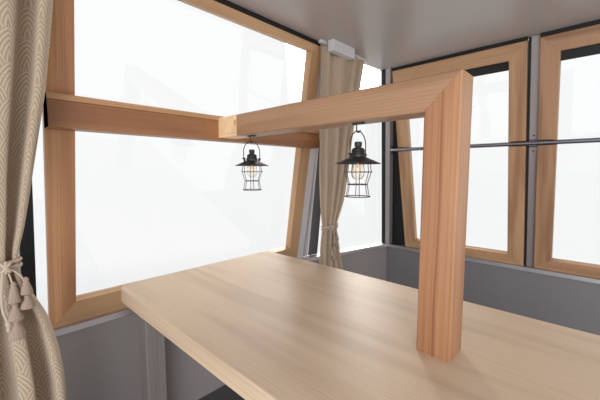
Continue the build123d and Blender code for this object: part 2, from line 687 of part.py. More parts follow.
cage_top_z = (brim_z - BRIM_THICKNESS - (CAGE_TOP_RADIUS - inner_radius) * under_slope
              - 0.6 * CAGE_RING_WIRE - SEAT)
cage_rings = [(CAGE_TOP_RADIUS, cage_top_z), (CAGE_RING_RADIUS, ring_z),
              (CAGE_WAIST_RADIUS, waist_z), (CAGE_FOOT_RADIUS, foot_z)]

for side, from_post in LANTERNS_FROM_POST.items():
    x = portal_x - TIMBER - from_post
    centre = Plane.XZ.offset(-PORTAL_Y)

    # Hook: a plate on the beam, a shank and a half-round bend, open to one side
    with BuildPart() as hook:
        with BuildSketch(Plane.XY.offset(beam_z - SEAT)):
            with Locations((x, PORTAL_Y)):
                RectangleRounded(HOOK_PLATE_LENGTH, HOOK_PLATE_WIDTH, HOOK_PLATE_ROUND)
        extrude(amount=-HOOK_PLATE_THICKNESS)
        bend_z = hook_seat_z + HOOK_BEND
        with BuildLine(centre) as hook_line:
            shank = Line((x - HOOK_BEND, beam_z - HOOK_PLATE_THICKNESS), (x - HOOK_BEND, bend_z))
            RadiusArc((x - HOOK_BEND, bend_z), (x + HOOK_BEND, bend_z), -HOOK_BEND)
        with BuildSketch(Plane(origin=shank @ 0, z_dir=shank % 0)):
            Circle(HOOK_WIRE / 2)
        sweep()
    save(hook, f"hook_{side}")

    # Bail: an arch of wire in the plane of its two eyes
    with BuildPart() as bail:
        half = BAIL_SPAN / 2
        leg_foot_z, leg_head_z = ear_z + (EAR_PIN_RADIUS + EAR_EYE_RADIUS) / 2, pivot_z - half
        with BuildLine(Plane.YZ.offset(x)) as bail_line:
            left_leg = Line((PORTAL_Y - half, leg_foot_z), (PORTAL_Y - half, leg_head_z))
            ThreePointArc((PORTAL_Y - half, leg_head_z), (PORTAL_Y, pivot_z), (PORTAL_Y + half, leg_head_z))
            Line((PORTAL_Y + half, leg_head_z), (PORTAL_Y + half, leg_foot_z))
        with BuildSketch(Plane(origin=left_leg @ 0, z_dir=left_leg % 0)):
            Circle(BAIL_WIRE / 2)
        sweep()
        for sign in (-1, 1):
            with BuildSketch(Plane.XZ.offset(-(PORTAL_Y + sign * half - EAR_EYE_WIDTH / 2))):
                with Locations((x, ear_z)):
                    Circle(EAR_EYE_RADIUS)
            extrude(amount=-EAR_EYE_WIDTH)
            with BuildSketch(Plane.XZ.offset(-(PORTAL_Y + sign * half - EAR_EYE_WIDTH))):
                with Locations((x, ear_z)):
                    Circle(EAR_PIN_RADIUS + EAR_PIN_PLAY)
            extrude(amount=-2 * EAR_EYE_WIDTH, mode=Mode.SUBTRACT)
    save(bail, f"lantern_{side}_bail")

    # Hood: cap, body and sloping brim turned in one, with an ear and pin on each side
    with BuildPart() as hood:
        cap_top = body_top + CAP_HEIGHT
        cap_low = body_top + CAP_NECK_HEIGHT
        with BuildSketch(centre):
            with Locations((x, 0)):
                Polygon((0, cap_top), (CAP_RADIUS - CAP_EDGE, cap_top), (CAP_RADIUS, cap_top - CAP_EDGE),
                        (CAP_RADIUS, cap_low + CAP_EDGE), (CAP_NECK_RADIUS, cap_low),
                        (CAP_NECK_RADIUS, body_top), (SHOULDER_RADIUS, body_top),
                        (DRUM_RADIUS, body_top - SHOULDER_DROP), *ribs, (DRUM_RADIUS, skirt_top + SKIRT_EDGE),
                        (BODY_RADIUS - SKIRT_EDGE, skirt_top), (BODY_RADIUS, skirt_top - SKIRT_EDGE),
                        (BODY_RADIUS, brim_z), (BRIM_RADIUS, brim_low),
                        (BRIM_RADIUS, brim_low - BRIM_THICKNESS), (inner_radius, brim_z - BRIM_THICKNESS),
                        (inner_radius, skirt_top - 2 * SKIRT_EDGE),
                        (drum_inside, skirt_top - SKIRT_EDGE), (drum_inside, hood_inside_z),
                        (0, hood_inside_z), align=None)
            with Locations((x + BRIM_RADIUS, brim_low - BRIM_THICKNESS / 2)):
                Circle(BRIM_BEAD)
        revolve(axis=Axis((x, PORTAL_Y, 0), (0, 0, 1)))
        for sign in (-1, 1):
            tab_low = brim_z - (tab_y - BODY_RADIUS) * brim_slope - BRIM_THICKNESS / 2
            tab_top = ear_z + EAR_TAB_HEAD / 2
            inner = PORTAL_Y + sign * tab_y
            with BuildSketch(Plane.XZ.offset(-inner)):
                Polygon((x - EAR_TAB_FOOT / 2, tab_low), (x + EAR_TAB_FOOT / 2, tab_low),
                        (x + EAR_TAB_HEAD / 2, tab_top), (x - EAR_TAB_HEAD / 2, tab_top), align=None)
            extrude(amount=sign * EAR_TAB)
            with BuildSketch(Plane.XZ.offset(-inner)):
                with Locations((x, ear_z)):
                    Circle(EAR_PIN_RADIUS)
            extrude(amount=-sign * (EAR_GAP + EAR_EYE_WIDTH + EAR_PIN_HEAD))
    save(hood, f"lantern_{side}_hood")

    # Cage: rings joined by bent wires
    with BuildPart() as cage:
        for radius, level in cage_rings:
            with BuildSketch(centre):
                with Locations((x + radius, level)):
                    Circle(CAGE_RING_WIRE / 2)
            revolve(axis=Axis((x, PORTAL_Y, 0), (0, 0, 1)))
        for index in range(CAGE_WIRES):
            angle = 360 / CAGE_WIRES * index + CAGE_TURN
            spoke = Plane(origin=(x, PORTAL_Y, 0), x_dir=Vector(1, 0, 0).rotate(Axis.Z, angle),
                          z_dir=Vector(0, -1, 0).rotate(Axis.Z, angle))
            with BuildLine(spoke) as wire_line:
                FilletPolyline(*cage_rings, radius=CAGE_BEND)
            with BuildSketch(Plane(origin=wire_line.line @ 0, z_dir=wire_line.line % 0)):
                Circle(CAGE_WIRE / 2)
            sweep(path=wire_line.line)
    save(cage, f"lantern_{side}_cage")

    # Bulb: a socket under the hood and a rounded glass with a narrower neck
    with BuildPart() as bulb:
        socket_top = hood_inside_z - SEAT
        neck = socket_top - SOCKET_LENGTH
        tip = neck - BULB_LENGTH
        shoulder = neck - BULB_NECK_LENGTH - (BULB_RADIUS - BULB_NECK_RADIUS)
        with BuildSketch(centre) as bulb_profile:
            with Locations((x, 0)):
                Polygon((0, socket_top), (SOCKET_RADIUS, socket_top), (SOCKET_RADIUS, neck),
                        (BULB_NECK_RADIUS, neck), (BULB_NECK_RADIUS, neck - BULB_NECK_LENGTH),
                        (BULB_RADIUS, shoulder), (BULB_RADIUS, tip), (0, tip), align=None)
            for end, rounding in ((0, BULB_TIP_ROUND), (-1, BULB_SHOULDER_ROUND)):
                widest = bulb_profile.vertices().group_by(Axis.X)[-1]
                fillet(widest.sort_by(Axis.Y)[end], radius=rounding)
        revolve(axis=Axis((x, PORTAL_Y, 0), (0, 0, 1)))
    save(bulb, f"lantern_{side}_bulb")

# Curtains: each hangs from a short ceiling track, is tied at the waist and falls to the floor
curtain_top = CEILING_Z - SEAT - TRACK_HEIGHT - CURTAIN_SEAT
curtain_hem = FLOOR_Z + CURTAIN_FLOOR_GAP
for name, size, base_y in (("front", FRONT_CURTAIN, FRONT_Y), ("corner", CORNER_CURTAIN, WALL_Y)):
    x = side_head_x + size["from_head"]
    waist_y = base_y + size["waist"]
    heading = Location((x, base_y + size["heading"], 0), (0, 0, size["turn"]))
    waist = Location((x, waist_y, 0), (0, 0, size["turn"]))
    full, slim = size["thickness"], size["thickness"] * CURTAIN_WAIST_SHARE
    half, flare = size["waist_half"], size["waist_half"] * size["flare"]
    rounding = slim * CURTAIN_ROUND
    tie_z = FLOOR_Z + size["tie_height"]
    band_top, band_low = tie_z + TIE_BAND_HEIGHT / 2, tie_z - TIE_BAND_HEIGHT / 2
    sections = [(curtain_top, heading, size["heading_half"], full),
                (between(band_top, curtain_top, CURTAIN_FLARE_HEIGHT), waist, flare, full),
                (band_top, waist, half, slim), (band_low, waist, half, slim),
                (between(band_low, curtain_hem, CURTAIN_FLARE_HEIGHT), waist, flare, full),
                (curtain_hem, waist, size["hem_half"], full)]
    with BuildPart() as curtain:
        for level, place, half_width, thickness in sections:
            with BuildSketch(Plane.XY.offset(level)):
                with Locations(place):
                    RectangleRounded(thickness, 2 * half_width, rounding)
        loft(ruled=True)
    save(curtain, f"curtain_{name}")

    # Tie-back: a band round the waist, with chains of tassels that hang on cords
    with BuildPart() as tie_back:
        inner_x, inner_y = slim + 2 * CURTAIN_SEAT, 2 * (half + CURTAIN_SEAT)
        corner = rounding + CURTAIN_SEAT
        with BuildSketch(Plane.XY.offset(band_low)):
            with Locations(waist):
                RectangleRounded(inner_x + 2 * TIE_BAND_THICKNESS, inner_y + 2 * TIE_BAND_THICKNESS,
                                 corner + TIE_BAND_THICKNESS)
                RectangleRounded(inner_x, inner_y, corner, mode=Mode.SUBTRACT)
        extrude(amount=TIE_BAND_HEIGHT)
        band_x = x + inner_x / 2 + TIE_BAND_THICKNESS / 3
        tassel_x = x + full / 2 + TIE_BAND_THICKNESS + TASSEL_RADIUS
        cord = TASSEL_CORD_RADIUS
        for from_edge, skirts in TASSEL_CHAINS:
            tassel_y, knot_y = waist_y + half + from_edge, waist_y + half + TASSEL_CHAINS[0][0]
            with BuildSketch(Plane.XY.offset(tie_z - cord)):
                Polygon((band_x, knot_y - cord), (tassel_x, tassel_y - cord), (tassel_x, tassel_y + cord),
                        (band_x, knot_y + cord), align=None)
            extrude(amount=2 * cord)
            steps = [(radius, -level) for start, end in skirts for radius, level in
                     ((cord, start - cord), (TASSEL_NECK, start), (TASSEL_RADIUS, end), (cord, end))]
            with BuildSketch(Plane.XZ.offset(-tassel_y)):
                with Locations((tassel_x, tie_z)):
                    Polygon((0, cord), (cord, cord), *steps, (0, steps[-1][1]), align=None)
            revolve(axis=Axis((tassel_x, tassel_y, 0), (0, 0, 1)))
    save(tie_back, f"tie_back_{name}")

    with BuildPart() as track:
        with BuildSketch(Plane.XY.offset(CEILING_Z - SEAT)):
            with Locations(heading):
                RectangleRounded(TRACK_WIDTH, 2 * size["heading_half"], TRACK_ROUND)
        extrude(amount=-TRACK_HEIGHT)
    save(track, f"curtain_track_{name}")

box_x = side_head_x + BOX_FROM_HEAD + BOX_WIDTH / 2
box_y = WALL_Y - BOX_FROM_END_WALL + BOX_LENGTH / 2
with BuildPart() as ceiling_box:
    with BuildSketch(Plane.XY.offset(CEILING_Z - SEAT)):
        with Locations((box_x, box_y)):
            RectangleRounded(BOX_WIDTH, BOX_LENGTH, BOX_EDGE)
    extrude(amount=-BOX_HEIGHT)
    chamfer(ceiling_box.faces().sort_by(Axis.Z)[0].edges(), length=BOX_EDGE / 2)
    rim, depth = BOX_RECESS
    with BuildSketch(Plane.YZ.offset(box_x + BOX_WIDTH / 2)):
        with Locations((box_y, CEILING_Z - BOX_HEIGHT / 2)):
            Rectangle(BOX_LENGTH - 2 * (rim + BOX_EDGE), BOX_HEIGHT - 2 * rim)
    extrude(amount=-depth, mode=Mode.SUBTRACT)
save(ceiling_box, "ceiling_box")

# Roof beams, box sections with holes for the hanger's bolts
with BuildPart() as roof_beams:
    roof_middle = (FRONT_Y + end_head_y) / 2
    roof_x = (side_head_x + OPEN_X) / 2
    for sign in (-1, 1):
        with BuildSketch(Plane.XY.offset(CEILING_Z + ROOF_THICKNESS)):
            with Locations((roof_x, roof_middle + sign * ROOF_BEAM_SPACING / 2)):
                Rectangle(ROOF_BEAM_LENGTH, ROOF_BEAM_WIDTH)
        extrude(amount=ROOF_BEAM_HEIGHT)
    with BuildSketch(Plane.XY.offset(CEILING_Z + ROOF_THICKNESS)):
        with Locations((roof_x, roof_middle)):
            with GridLocations(ROOF_HOLE_SPACING, ROOF_BEAM_SPACING, 2, 2):
                Circle(ROOF_HOLE_RADIUS)
    extrude(amount=ROOF_BEAM_HEIGHT, mode=Mode.SUBTRACT)
save(roof_beams, "roof_beams")
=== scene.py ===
import math

import bmesh
import bpy
from mathutils import Matrix, Vector, noise


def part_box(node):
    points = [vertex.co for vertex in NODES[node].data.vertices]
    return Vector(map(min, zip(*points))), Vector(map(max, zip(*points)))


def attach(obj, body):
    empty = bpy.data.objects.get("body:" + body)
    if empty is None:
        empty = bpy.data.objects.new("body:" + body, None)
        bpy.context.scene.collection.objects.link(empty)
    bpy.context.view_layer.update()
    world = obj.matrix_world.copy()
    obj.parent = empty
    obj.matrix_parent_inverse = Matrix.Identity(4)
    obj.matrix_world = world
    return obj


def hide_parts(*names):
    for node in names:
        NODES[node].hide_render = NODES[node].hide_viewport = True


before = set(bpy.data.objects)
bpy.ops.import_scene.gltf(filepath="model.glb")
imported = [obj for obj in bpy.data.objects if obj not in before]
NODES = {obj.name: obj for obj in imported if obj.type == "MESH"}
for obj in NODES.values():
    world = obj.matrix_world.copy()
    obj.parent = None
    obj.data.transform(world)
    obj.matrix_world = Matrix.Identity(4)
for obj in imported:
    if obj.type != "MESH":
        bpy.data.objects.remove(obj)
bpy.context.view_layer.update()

# The lean of the walls above the sill, and places that the solids have too, in metres
LEAN = math.radians(12.5)
SILL_Z = 0.720
TRACK_LOW = 2.0735
PORTAL_Y = -0.315
END_FOOT_Y = 1.323


# Node tree helpers

def tone(red, green, blue):
    """Linear colour of an sRGB colour written as 0 to 255."""
    def linear(part):
        part /= 255
        return part / 12.92 if part <= 0.04045 else ((part + 0.055) / 1.055) ** 2.4
    return (linear(red), linear(green), linear(blue), 1)


class Tree:
    """Adds and joins the nodes of one material or one node group."""

    def __init__(self, tree):
        self.tree = tree

    def add(self, kind, **settings):
        node = self.tree.nodes.new(kind)
        for key, value in settings.items():
            setattr(node, key, value)
        return node

    def feed(self, socket, value):
        if isinstance(value, bpy.types.NodeSocket):
            self.tree.links.new(value, socket)
        else:
            socket.default_value = value

    def math(self, operation, *values, clamp=False):
        node = self.add("ShaderNodeMath", operation=operation, use_clamp=clamp)
        for socket, value in zip(node.inputs, values):
            self.feed(socket, value)
        return node.outputs[0]

    def vector(self, operation, *values):
        node = self.add("ShaderNodeVectorMath", operation=operation)
        for socket, value in zip(node.inputs, values):
            self.feed(socket, value)
        return node.outputs[1] if operation == "LENGTH" else node.outputs[0]

    def scaled(self, vector, x, y, z):
        return self.vector("MULTIPLY", vector, (x, y, z))

    def shaded(self, colour, shade):
        return self.vector("MULTIPLY", colour, self.joined(shade, shade, shade))

    def varied(self, base, value, amount):
        """Base, raised and lowered by an amount times how far a noise value is from its middle."""
        return self.math("ADD", base, self.math("MULTIPLY", self.math("SUBTRACT", value, 0.5), amount))

    def noise(self, vector, scale, detail=2.0, roughness=0.5):
        node = self.add("ShaderNodeTexNoise")
        self.feed(node.inputs["Vector"], vector)
        node.inputs["Scale"].default_value = scale
        node.inputs["Detail"].default_value = detail
        node.inputs["Roughness"].default_value = roughness
        return node.outputs["Fac"]

    def ramp(self, value, stops):
        """Shade of grey by stops of (place, shade)."""
        node = self.add("ShaderNodeValToRGB")
        ramp = node.color_ramp
        while len(ramp.elements) < len(stops):
            ramp.elements.new(0.5)
        for element, (place, shade) in zip(ramp.elements, stops):
            element.position = place
            element.color = (shade, shade, shade, 1)
        self.feed(node.inputs[0], value)
        return node.outputs[0]

    def mix(self, share, a, b):
        node = self.add("ShaderNodeMix", data_type="RGBA")
        self.feed(node.inputs[0], share)
        self.feed(node.inputs[6], a)
        self.feed(node.inputs[7], b)
        return node.outputs[2]

    def between(self, value, low, high, out_low=0.0, out_high=1.0):
        """Goes smoothly from one number to the other as the value goes from low to high."""
        node = self.add("ShaderNodeMapRange", interpolation_type="SMOOTHSTEP")
        for socket, number in zip(node.inputs, (value, low, high, out_low, out_high)):
            self.feed(socket, number)
        return node.outputs[0]

    def parts(self, vector):
        node = self.add("ShaderNodeSeparateXYZ")
        self.feed(node.inputs[0], vector)
        return node.outputs

    def joined(self, x, y, z):
        node = self.add("ShaderNodeCombineXYZ")
        for socket, value in zip(node.inputs, (x, y, z)):
            self.feed(socket, value)
        return node.outputs[0]

    def rotated(self, vector, turn):
        node = self.add("ShaderNodeMapping")
        self.feed(node.inputs["Vector"], vector)
        node.inputs["Rotation"].default_value = turn
        return node.outputs[0]

    def bump(self, height, distance, strength):
        node = self.add("ShaderNodeBump")
        self.feed(node.inputs["Height"], height)
        node.inputs["Distance"].default_value = distance
        node.inputs["Strength"].default_value = strength
        return node.outputs[0]

    def group(self, group, **values):
        node = self.add("ShaderNodeGroup", node_tree=group)
        for name, value in values.items():
            self.feed(node.inputs[name.replace("_", " ").title()], value)
        return node.outputs

    def seen(self):
        """1 on a ray from the camera, straight or by way of gloss or glass, and 0 on the light's other rays."""
        path = self.add("ShaderNodeLightPath").outputs
        mirrored = self.math("MAXIMUM", path["Is Glossy Ray"], path["Is Transmission Ray"])
        return self.math("MAXIMUM", path["Is Camera Ray"], mirrored)

    def end_mix(self, share, second, first="Principled BSDF", output="Material Output"):
        """Ends the tree in its first shader mixed with a share of a second one."""
        nodes = self.tree.nodes
        both = self.add("ShaderNodeMixShader")
        for socket, value in zip(both.inputs, (share, nodes[first].outputs[0], second)):
            self.feed(socket, value)
        self.feed(nodes[output].inputs["Surface"], both.outputs[0])


def new_group(name, inputs, outputs):
    """An empty node group; returns it, its Tree, the sockets it is given and the sockets it puts out."""
    group = bpy.data.node_groups.new(name, "ShaderNodeTree")
    kinds = {"vector": "NodeSocketVector", "colour": "NodeSocketColor", "value": "NodeSocketFloat"}
    for label, (kind, default) in inputs.items():
        socket = group.interface.new_socket(label, in_out="INPUT", socket_type=kinds[kind])
        if default is not None:
            socket.default_value = default
    for label, kind in outputs.items():
        group.interface.new_socket(label, in_out="OUTPUT", socket_type=kinds[kind])
    tree = Tree(group)
    return group, tree, tree.add("NodeGroupInput").outputs, tree.add("NodeGroupOutput").inputs


def timber_grain():
    """Sawn softwood: growth rings round an axis along Z, fine fibres, and a slow change of tone.

    The share of the dark colour adds up late wood, fibres, streaks, heartwood and the heartwood's edge.
    """
    group, t, given, out = new_group(
        "timber_grain",
        {"Vector": ("vector", None), "Pale": ("colour", (0.5, 0.3, 0.15, 1)),
         "Dark": ("colour", (0.3, 0.15, 0.07, 1)), "Ring Spacing": ("value", 0.006), "Streaks": ("value", 0.5),
         "Heart Radius": ("value", 0.0)},
        {"Color": "colour", "Roughness": "value", "Height": "value"})
    place = given["Vector"]
    sway = t.noise(t.scaled(place, 5, 5, 0.9), 1.0, 2)
    shift = t.joined(t.math("MULTIPLY", sway, 0.028), t.math("MULTIPLY", sway, 0.020), 0.0)
    swayed = t.vector("ADD", place, shift)
    radius = t.vector("LENGTH", t.scaled(swayed, 1, 1, 0))
    years = t.noise(t.joined(t.math("MULTIPLY", radius, 24), 0.0, 0.0), 1.0, 3)
    rings = t.math("ADD", t.math("DIVIDE", radius, given["Ring Spacing"]), t.math("MULTIPLY", years, 5.0))
    late = t.ramp(t.math("FRACT", rings), ((0, 0.0), (0.45, 0.16), (0.82, 0.85), (0.93, 1.0), (1.0, 0.05)))
    fibres = t.noise(t.scaled(place, 260, 260, 5), 1.0, 3, 0.65)
    patches = t.noise(t.scaled(place, 14, 14, 1.1), 1.0, 2)
    share = t.math("MULTIPLY", late, 0.24)
    share = t.varied(share, fibres, 0.55)
    share = t.math("ADD", share, t.math("MULTIPLY", t.between(patches, 0.42, 0.66), given["Streaks"]))
    from_heart = t.math("SUBTRACT", radius, given["Heart Radius"])
    share = t.math("ADD", share, t.between(from_heart, -0.003, 0.003, 0.26, 0.0))
    edge = t.between(t.math("ABSOLUTE", t.math("ADD", from_heart, 0.004)), 0.0, 0.006, 0.34, 0.0)
    share = t.math("ADD", share, edge, clamp=True)
    t.feed(out["Color"], t.mix(share, given["Pale"], given["Dark"]))
    t.feed(out["Roughness"], t.math("ADD", t.math("MULTIPLY", fibres, 0.18), 0.40))
    t.feed(out["Height"], t.math("SUBTRACT", t.math("MULTIPLY", fibres, 0.7), t.math("MULTIPLY", late, 0.35)))
    return group


def paint_surface():
    """Sprayed paint: fine orange peel, faint clouds of tone and a little dust."""
    group, t, given, out = new_group(
        "paint_surface",
        {"Vector": ("vector", None), "Paint": ("colour", (0.5, 0.5, 0.5, 1)), "Clouding": ("value", 0.12),
         "Base Roughness": ("value", 0.4)},
        {"Color": "colour", "Roughness": "value", "Height": "value"})
    clouds = t.noise(given["Vector"], 2.6, 3)
    dust = t.noise(given["Vector"], 46.0, 3, 0.7)
    peel = t.noise(given["Vector"], 620.0, 1)
    shade = t.varied(t.varied(1.0, clouds, given["Clouding"]), dust, 0.03)
    t.feed(out["Color"], t.shaded(given["Paint"], shade))
    rough = t.varied(t.varied(0.0, clouds, 0.16), dust, 0.05)
    t.feed(out["Roughness"], t.math("ADD", given["Base Roughness"], rough, clamp=True))
    t.feed(out["Height"], peel)
    return group


def drawn_metal():
    """Metal drawn or brushed along Z: fine lines, and a slow change of shine."""
    group, t, given, out = new_group(
        "drawn_metal",
        {"Vector": ("vector", None), "Metal": ("colour", (0.6, 0.6, 0.6, 1)),
         "Base Roughness": ("value", 0.3)},
        {"Color": "colour", "Roughness": "value", "Height": "value"})
    lines = t.noise(t.scaled(given["Vector"], 900, 900, 12), 1.0, 2, 0.6)
    clouds = t.noise(given["Vector"], 9.0, 2)
    shade = t.varied(t.varied(1.0, lines, 0.22), clouds, 0.18)
    t.feed(out["Color"], t.shaded(given["Metal"], shade))
    rough = t.math("MULTIPLY", lines, 0.16)
    t.feed(out["Roughness"], t.math("ADD", given["Base Roughness"], rough, clamp=True))
    t.feed(out["Height"], lines)
    return group


def fan_rows():
    """Rows of overlapping pointed fans of fine arcs, each row half a fan along.

    Reads a flat vector in metres. Where the fan of the row below ends, the one of this row shows.
    """
    group, t, given, out = new_group(
        "fan_rows",
        {"Vector": ("vector", None), "Fan Width": ("value", 0.112), "Row Pitch": ("value", 0.045),
         "Arc Spacing": ("value", 0.0105)},
        {"Lines": "value"})
    flat = t.parts(given["Vector"])
    width, pitch = given["Fan Width"], given["Row Pitch"]
    half = t.math("MULTIPLY", width, 0.5)
    row = t.math("FLOOR", t.math("DIVIDE", flat[1], pitch))
    distances = []
    for step in (-1.0, 0.0):
        this_row = t.math("ADD", row, step)
        odd = t.math("MULTIPLY", t.math("FLOORED_MODULO", this_row, 2.0), 0.5)
        across = t.math("FRACT", t.math("ADD", t.math("DIVIDE", flat[0], width), odd))
        across = t.math("ABSOLUTE", t.math("MULTIPLY", t.math("SUBTRACT", across, 0.5), width))
        up = t.math("SUBTRACT", flat[1], t.math("MULTIPLY", this_row, pitch))
        distances.append(t.vector("LENGTH", t.joined(t.math("ADD", across, half), up, 0.0)))
    inside = t.math("LESS_THAN", distances[0], width)
    chosen = t.math("ADD", t.math("MULTIPLY", distances[0], inside),
                    t.math("MULTIPLY", distances[1], t.math("SUBTRACT", 1.0, inside)))
    wave = t.math("FRACT", t.math("DIVIDE", t.math("SUBTRACT", width, chosen), given["Arc Spacing"]))
    t.feed(out["Lines"], t.ramp(wave, ((0, 0.0), (0.12, 0.1), (0.34, 1.0), (0.66, 1.0), (0.88, 0.1))))
    return group


def woven_threads():
    """Plain weave of warp and weft with slubs; reads a flat vector in metres."""
    group, t, given, out = new_group(
        "woven_threads",
        {"Vector": ("vector", None), "Thread": ("value", 0.0009), "Slub": ("value", 0.3)},
        {"Height": "value", "Shade": "value"})
    turns = t.math("DIVIDE", 2 * math.pi, given["Thread"])
    flat = t.parts(given["Vector"])
    warp = t.math("SINE", t.math("MULTIPLY", flat[0], turns))
    weft = t.math("SINE", t.math("MULTIPLY", flat[1], turns))
    slubs = t.noise(t.scaled(given["Vector"], 40, 420, 1), 1.0, 2)
    threads = t.math("MULTIPLY", warp, weft)
    t.feed(out["Height"], t.math("ADD", t.math("MULTIPLY", threads, 0.5), slubs))
    shade = t.math("ADD", t.math("MULTIPLY", threads, 0.06), 1.0)
    t.feed(out["Shade"], t.varied(shade, slubs, given["Slub"]))
    return group


TIMBER, PAINT, METAL = timber_grain(), paint_surface(), drawn_metal()
FANS, WEAVE = fan_rows(), woven_threads()


# Materials

NO_HEARTWOOD = -1.0  # a radius that nothing lies within


def new_material(name, roughness=0.5, metallic=0.0, **constants):
    """A material with one Principled shader; returns it, its Tree and the shader's inputs."""
    material = bpy.data.materials.new(name)
    material.use_nodes = True
    shader = material.node_tree.nodes["Principled BSDF"].inputs
    shader["Roughness"].default_value = roughness
    shader["Metallic"].default_value = metallic
    for key, value in constants.items():
        shader[key.replace("_", " ").title().replace("Ior", "IOR")].default_value = value
    return material, Tree(material.node_tree), shader


def object_place(t):
    """Object coordinates, which are the cabin's own, because each object sits at the origin."""
    return t.add("ShaderNodeTexCoord").outputs["Object"]


def timber(name, turn, pith, pale, dark, spacing, streaks, vector=None, heart=NO_HEARTWOOD, knot=None):
    """Oiled timber whose grain runs along Z once its place is turned.

    Pith is where its growth rings centre, heart the radius of its darker heartwood, knot a place and a size.
    Vector, where it is given, is a function that turns the place within the tree instead.
    """
    pale, dark = tone(*pale), tone(*dark)
    material, t, shader = new_material(name, coat_weight=0.12, coat_roughness=0.35)
    place = vector(t) if vector else t.rotated(object_place(t), turn)
    place = t.vector("SUBTRACT", place, pith)
    grain = t.group(TIMBER, vector=place, pale=pale, dark=dark, ring_spacing=spacing, streaks=streaks,
                    heart_radius=heart)
    colour = grain["Color"]
    if knot:
        middle, size = knot
        away = t.vector("DIVIDE", t.vector("SUBTRACT", object_place(t), middle), size)
        ragged = t.math("MULTIPLY", t.noise(object_place(t), 220.0), 0.3)
        away = t.math("ADD", t.vector("LENGTH", away), ragged)
        colour = t.mix(t.between(away, 0.75, 1.25, 0.85, 0.0), colour, dark)
    t.feed(shader["Base Color"], colour)
    t.feed(shader["Roughness"], grain["Roughness"])
    t.feed(shader["Normal"], t.bump(grain["Height"], 0.0004, 0.5))
    return material


def lay_surface(t, shader, surface, relief, strength):
    """Feeds a group's colour, roughness and height, which is as deep as the relief, to the shader."""
    t.feed(shader["Base Color"], surface["Color"])
    t.feed(shader["Roughness"], surface["Roughness"])
    t.feed(shader["Normal"], t.bump(surface["Height"], relief, strength))


def painted(name, paint, roughness, clouding=0.12, metallic=0.0, relief=0.00006, **constants):
    """Sprayed paint, or with more clouding and relief rubber, thread or moulded plastic; also flat tones that
    paint light and shade.
    """
    material, t, shader = new_material(name, roughness, metallic, **constants)
    surface = t.group(PAINT, vector=object_place(t), paint=paint, clouding=clouding, base_roughness=roughness)
    lay_surface(t, shader, surface, relief, 0.4)
    return material


def drawn(name, metal, turn, roughness):
    """Bare metal whose drawing lines run along Z once its place is turned."""
    material, t, shader = new_material(name, roughness, 1.0)
    place = t.rotated(object_place(t), turn)
    surface = t.group(METAL, vector=place, metal=metal, base_roughness=roughness)
    lay_surface(t, shader, surface, 0.00003, 0.5)
    return material


def clear_glass(name, tint, roughness):
    """Clear glass, a little smeared, that throws no shadow on what lies behind it."""
    material, t, shader = new_material(name, roughness, 0.0, transmission_weight=1.0, ior=1.45)
    smears = t.noise(object_place(t), 3.5, 3)
    shader["Base Color"].default_value = tint
    t.feed(shader["Roughness"], t.between(smears, 0.5, 0.8, roughness, roughness + 0.05))
    clear = t.add("ShaderNodeBsdfTransparent")
    clear.inputs[0].default_value = tint
    path = t.add("ShaderNodeLightPath").outputs
    through = t.math("MAXIMUM", path["Is Shadow Ray"], path["Is Diffuse Ray"])
    t.end_mix(through, clear.outputs[0])
    return material


def fan_cloth(name, ground, line, thread, fan_width, slub):
    """Woven cloth with rows of fans on the piece's own UV map in metres; a quarter of it glows through."""
    material, t, shader = new_material(name, 0.85, sheen_weight=0.25, sheen_roughness=0.5)
    flat = t.add("ShaderNodeUVMap", uv_map="flat").outputs[0]
    weave = t.group(WEAVE, vector=flat, thread=thread, slub=slub)
    lines = t.group(FANS, vector=flat, fan_width=fan_width)["Lines"]
    shaded = t.shaded(t.mix(lines, ground, line), weave["Shade"])
    height = t.math("ADD", weave["Height"], t.math("MULTIPLY", lines, 0.5))
    t.feed(shader["Base Color"], shaded)
    t.feed(shader["Normal"], t.bump(height, 0.0005, 0.5))
    glow_through = t.add("ShaderNodeBsdfTranslucent")
    t.feed(glow_through.inputs["Color"], shaded)
    t.end_mix(0.25, glow_through.outputs[0])
    return material


# Turns that lay a piece's length, or a leaning piece's slope, along Z
ALONG_X, ALONG_Y, UPRIGHT = (0, math.radians(90), 0), (math.radians(90), 0, 0), (0, 0, 0)
SIDE_SLOPE, END_SLOPE = (0, -LEAN, 0), (-LEAN, 0, 0)


def finish_node(node, material):
    """Gives a solid's node its material."""
    mesh = NODES[node].data
    mesh.materials.clear()
    mesh.materials.append(material)


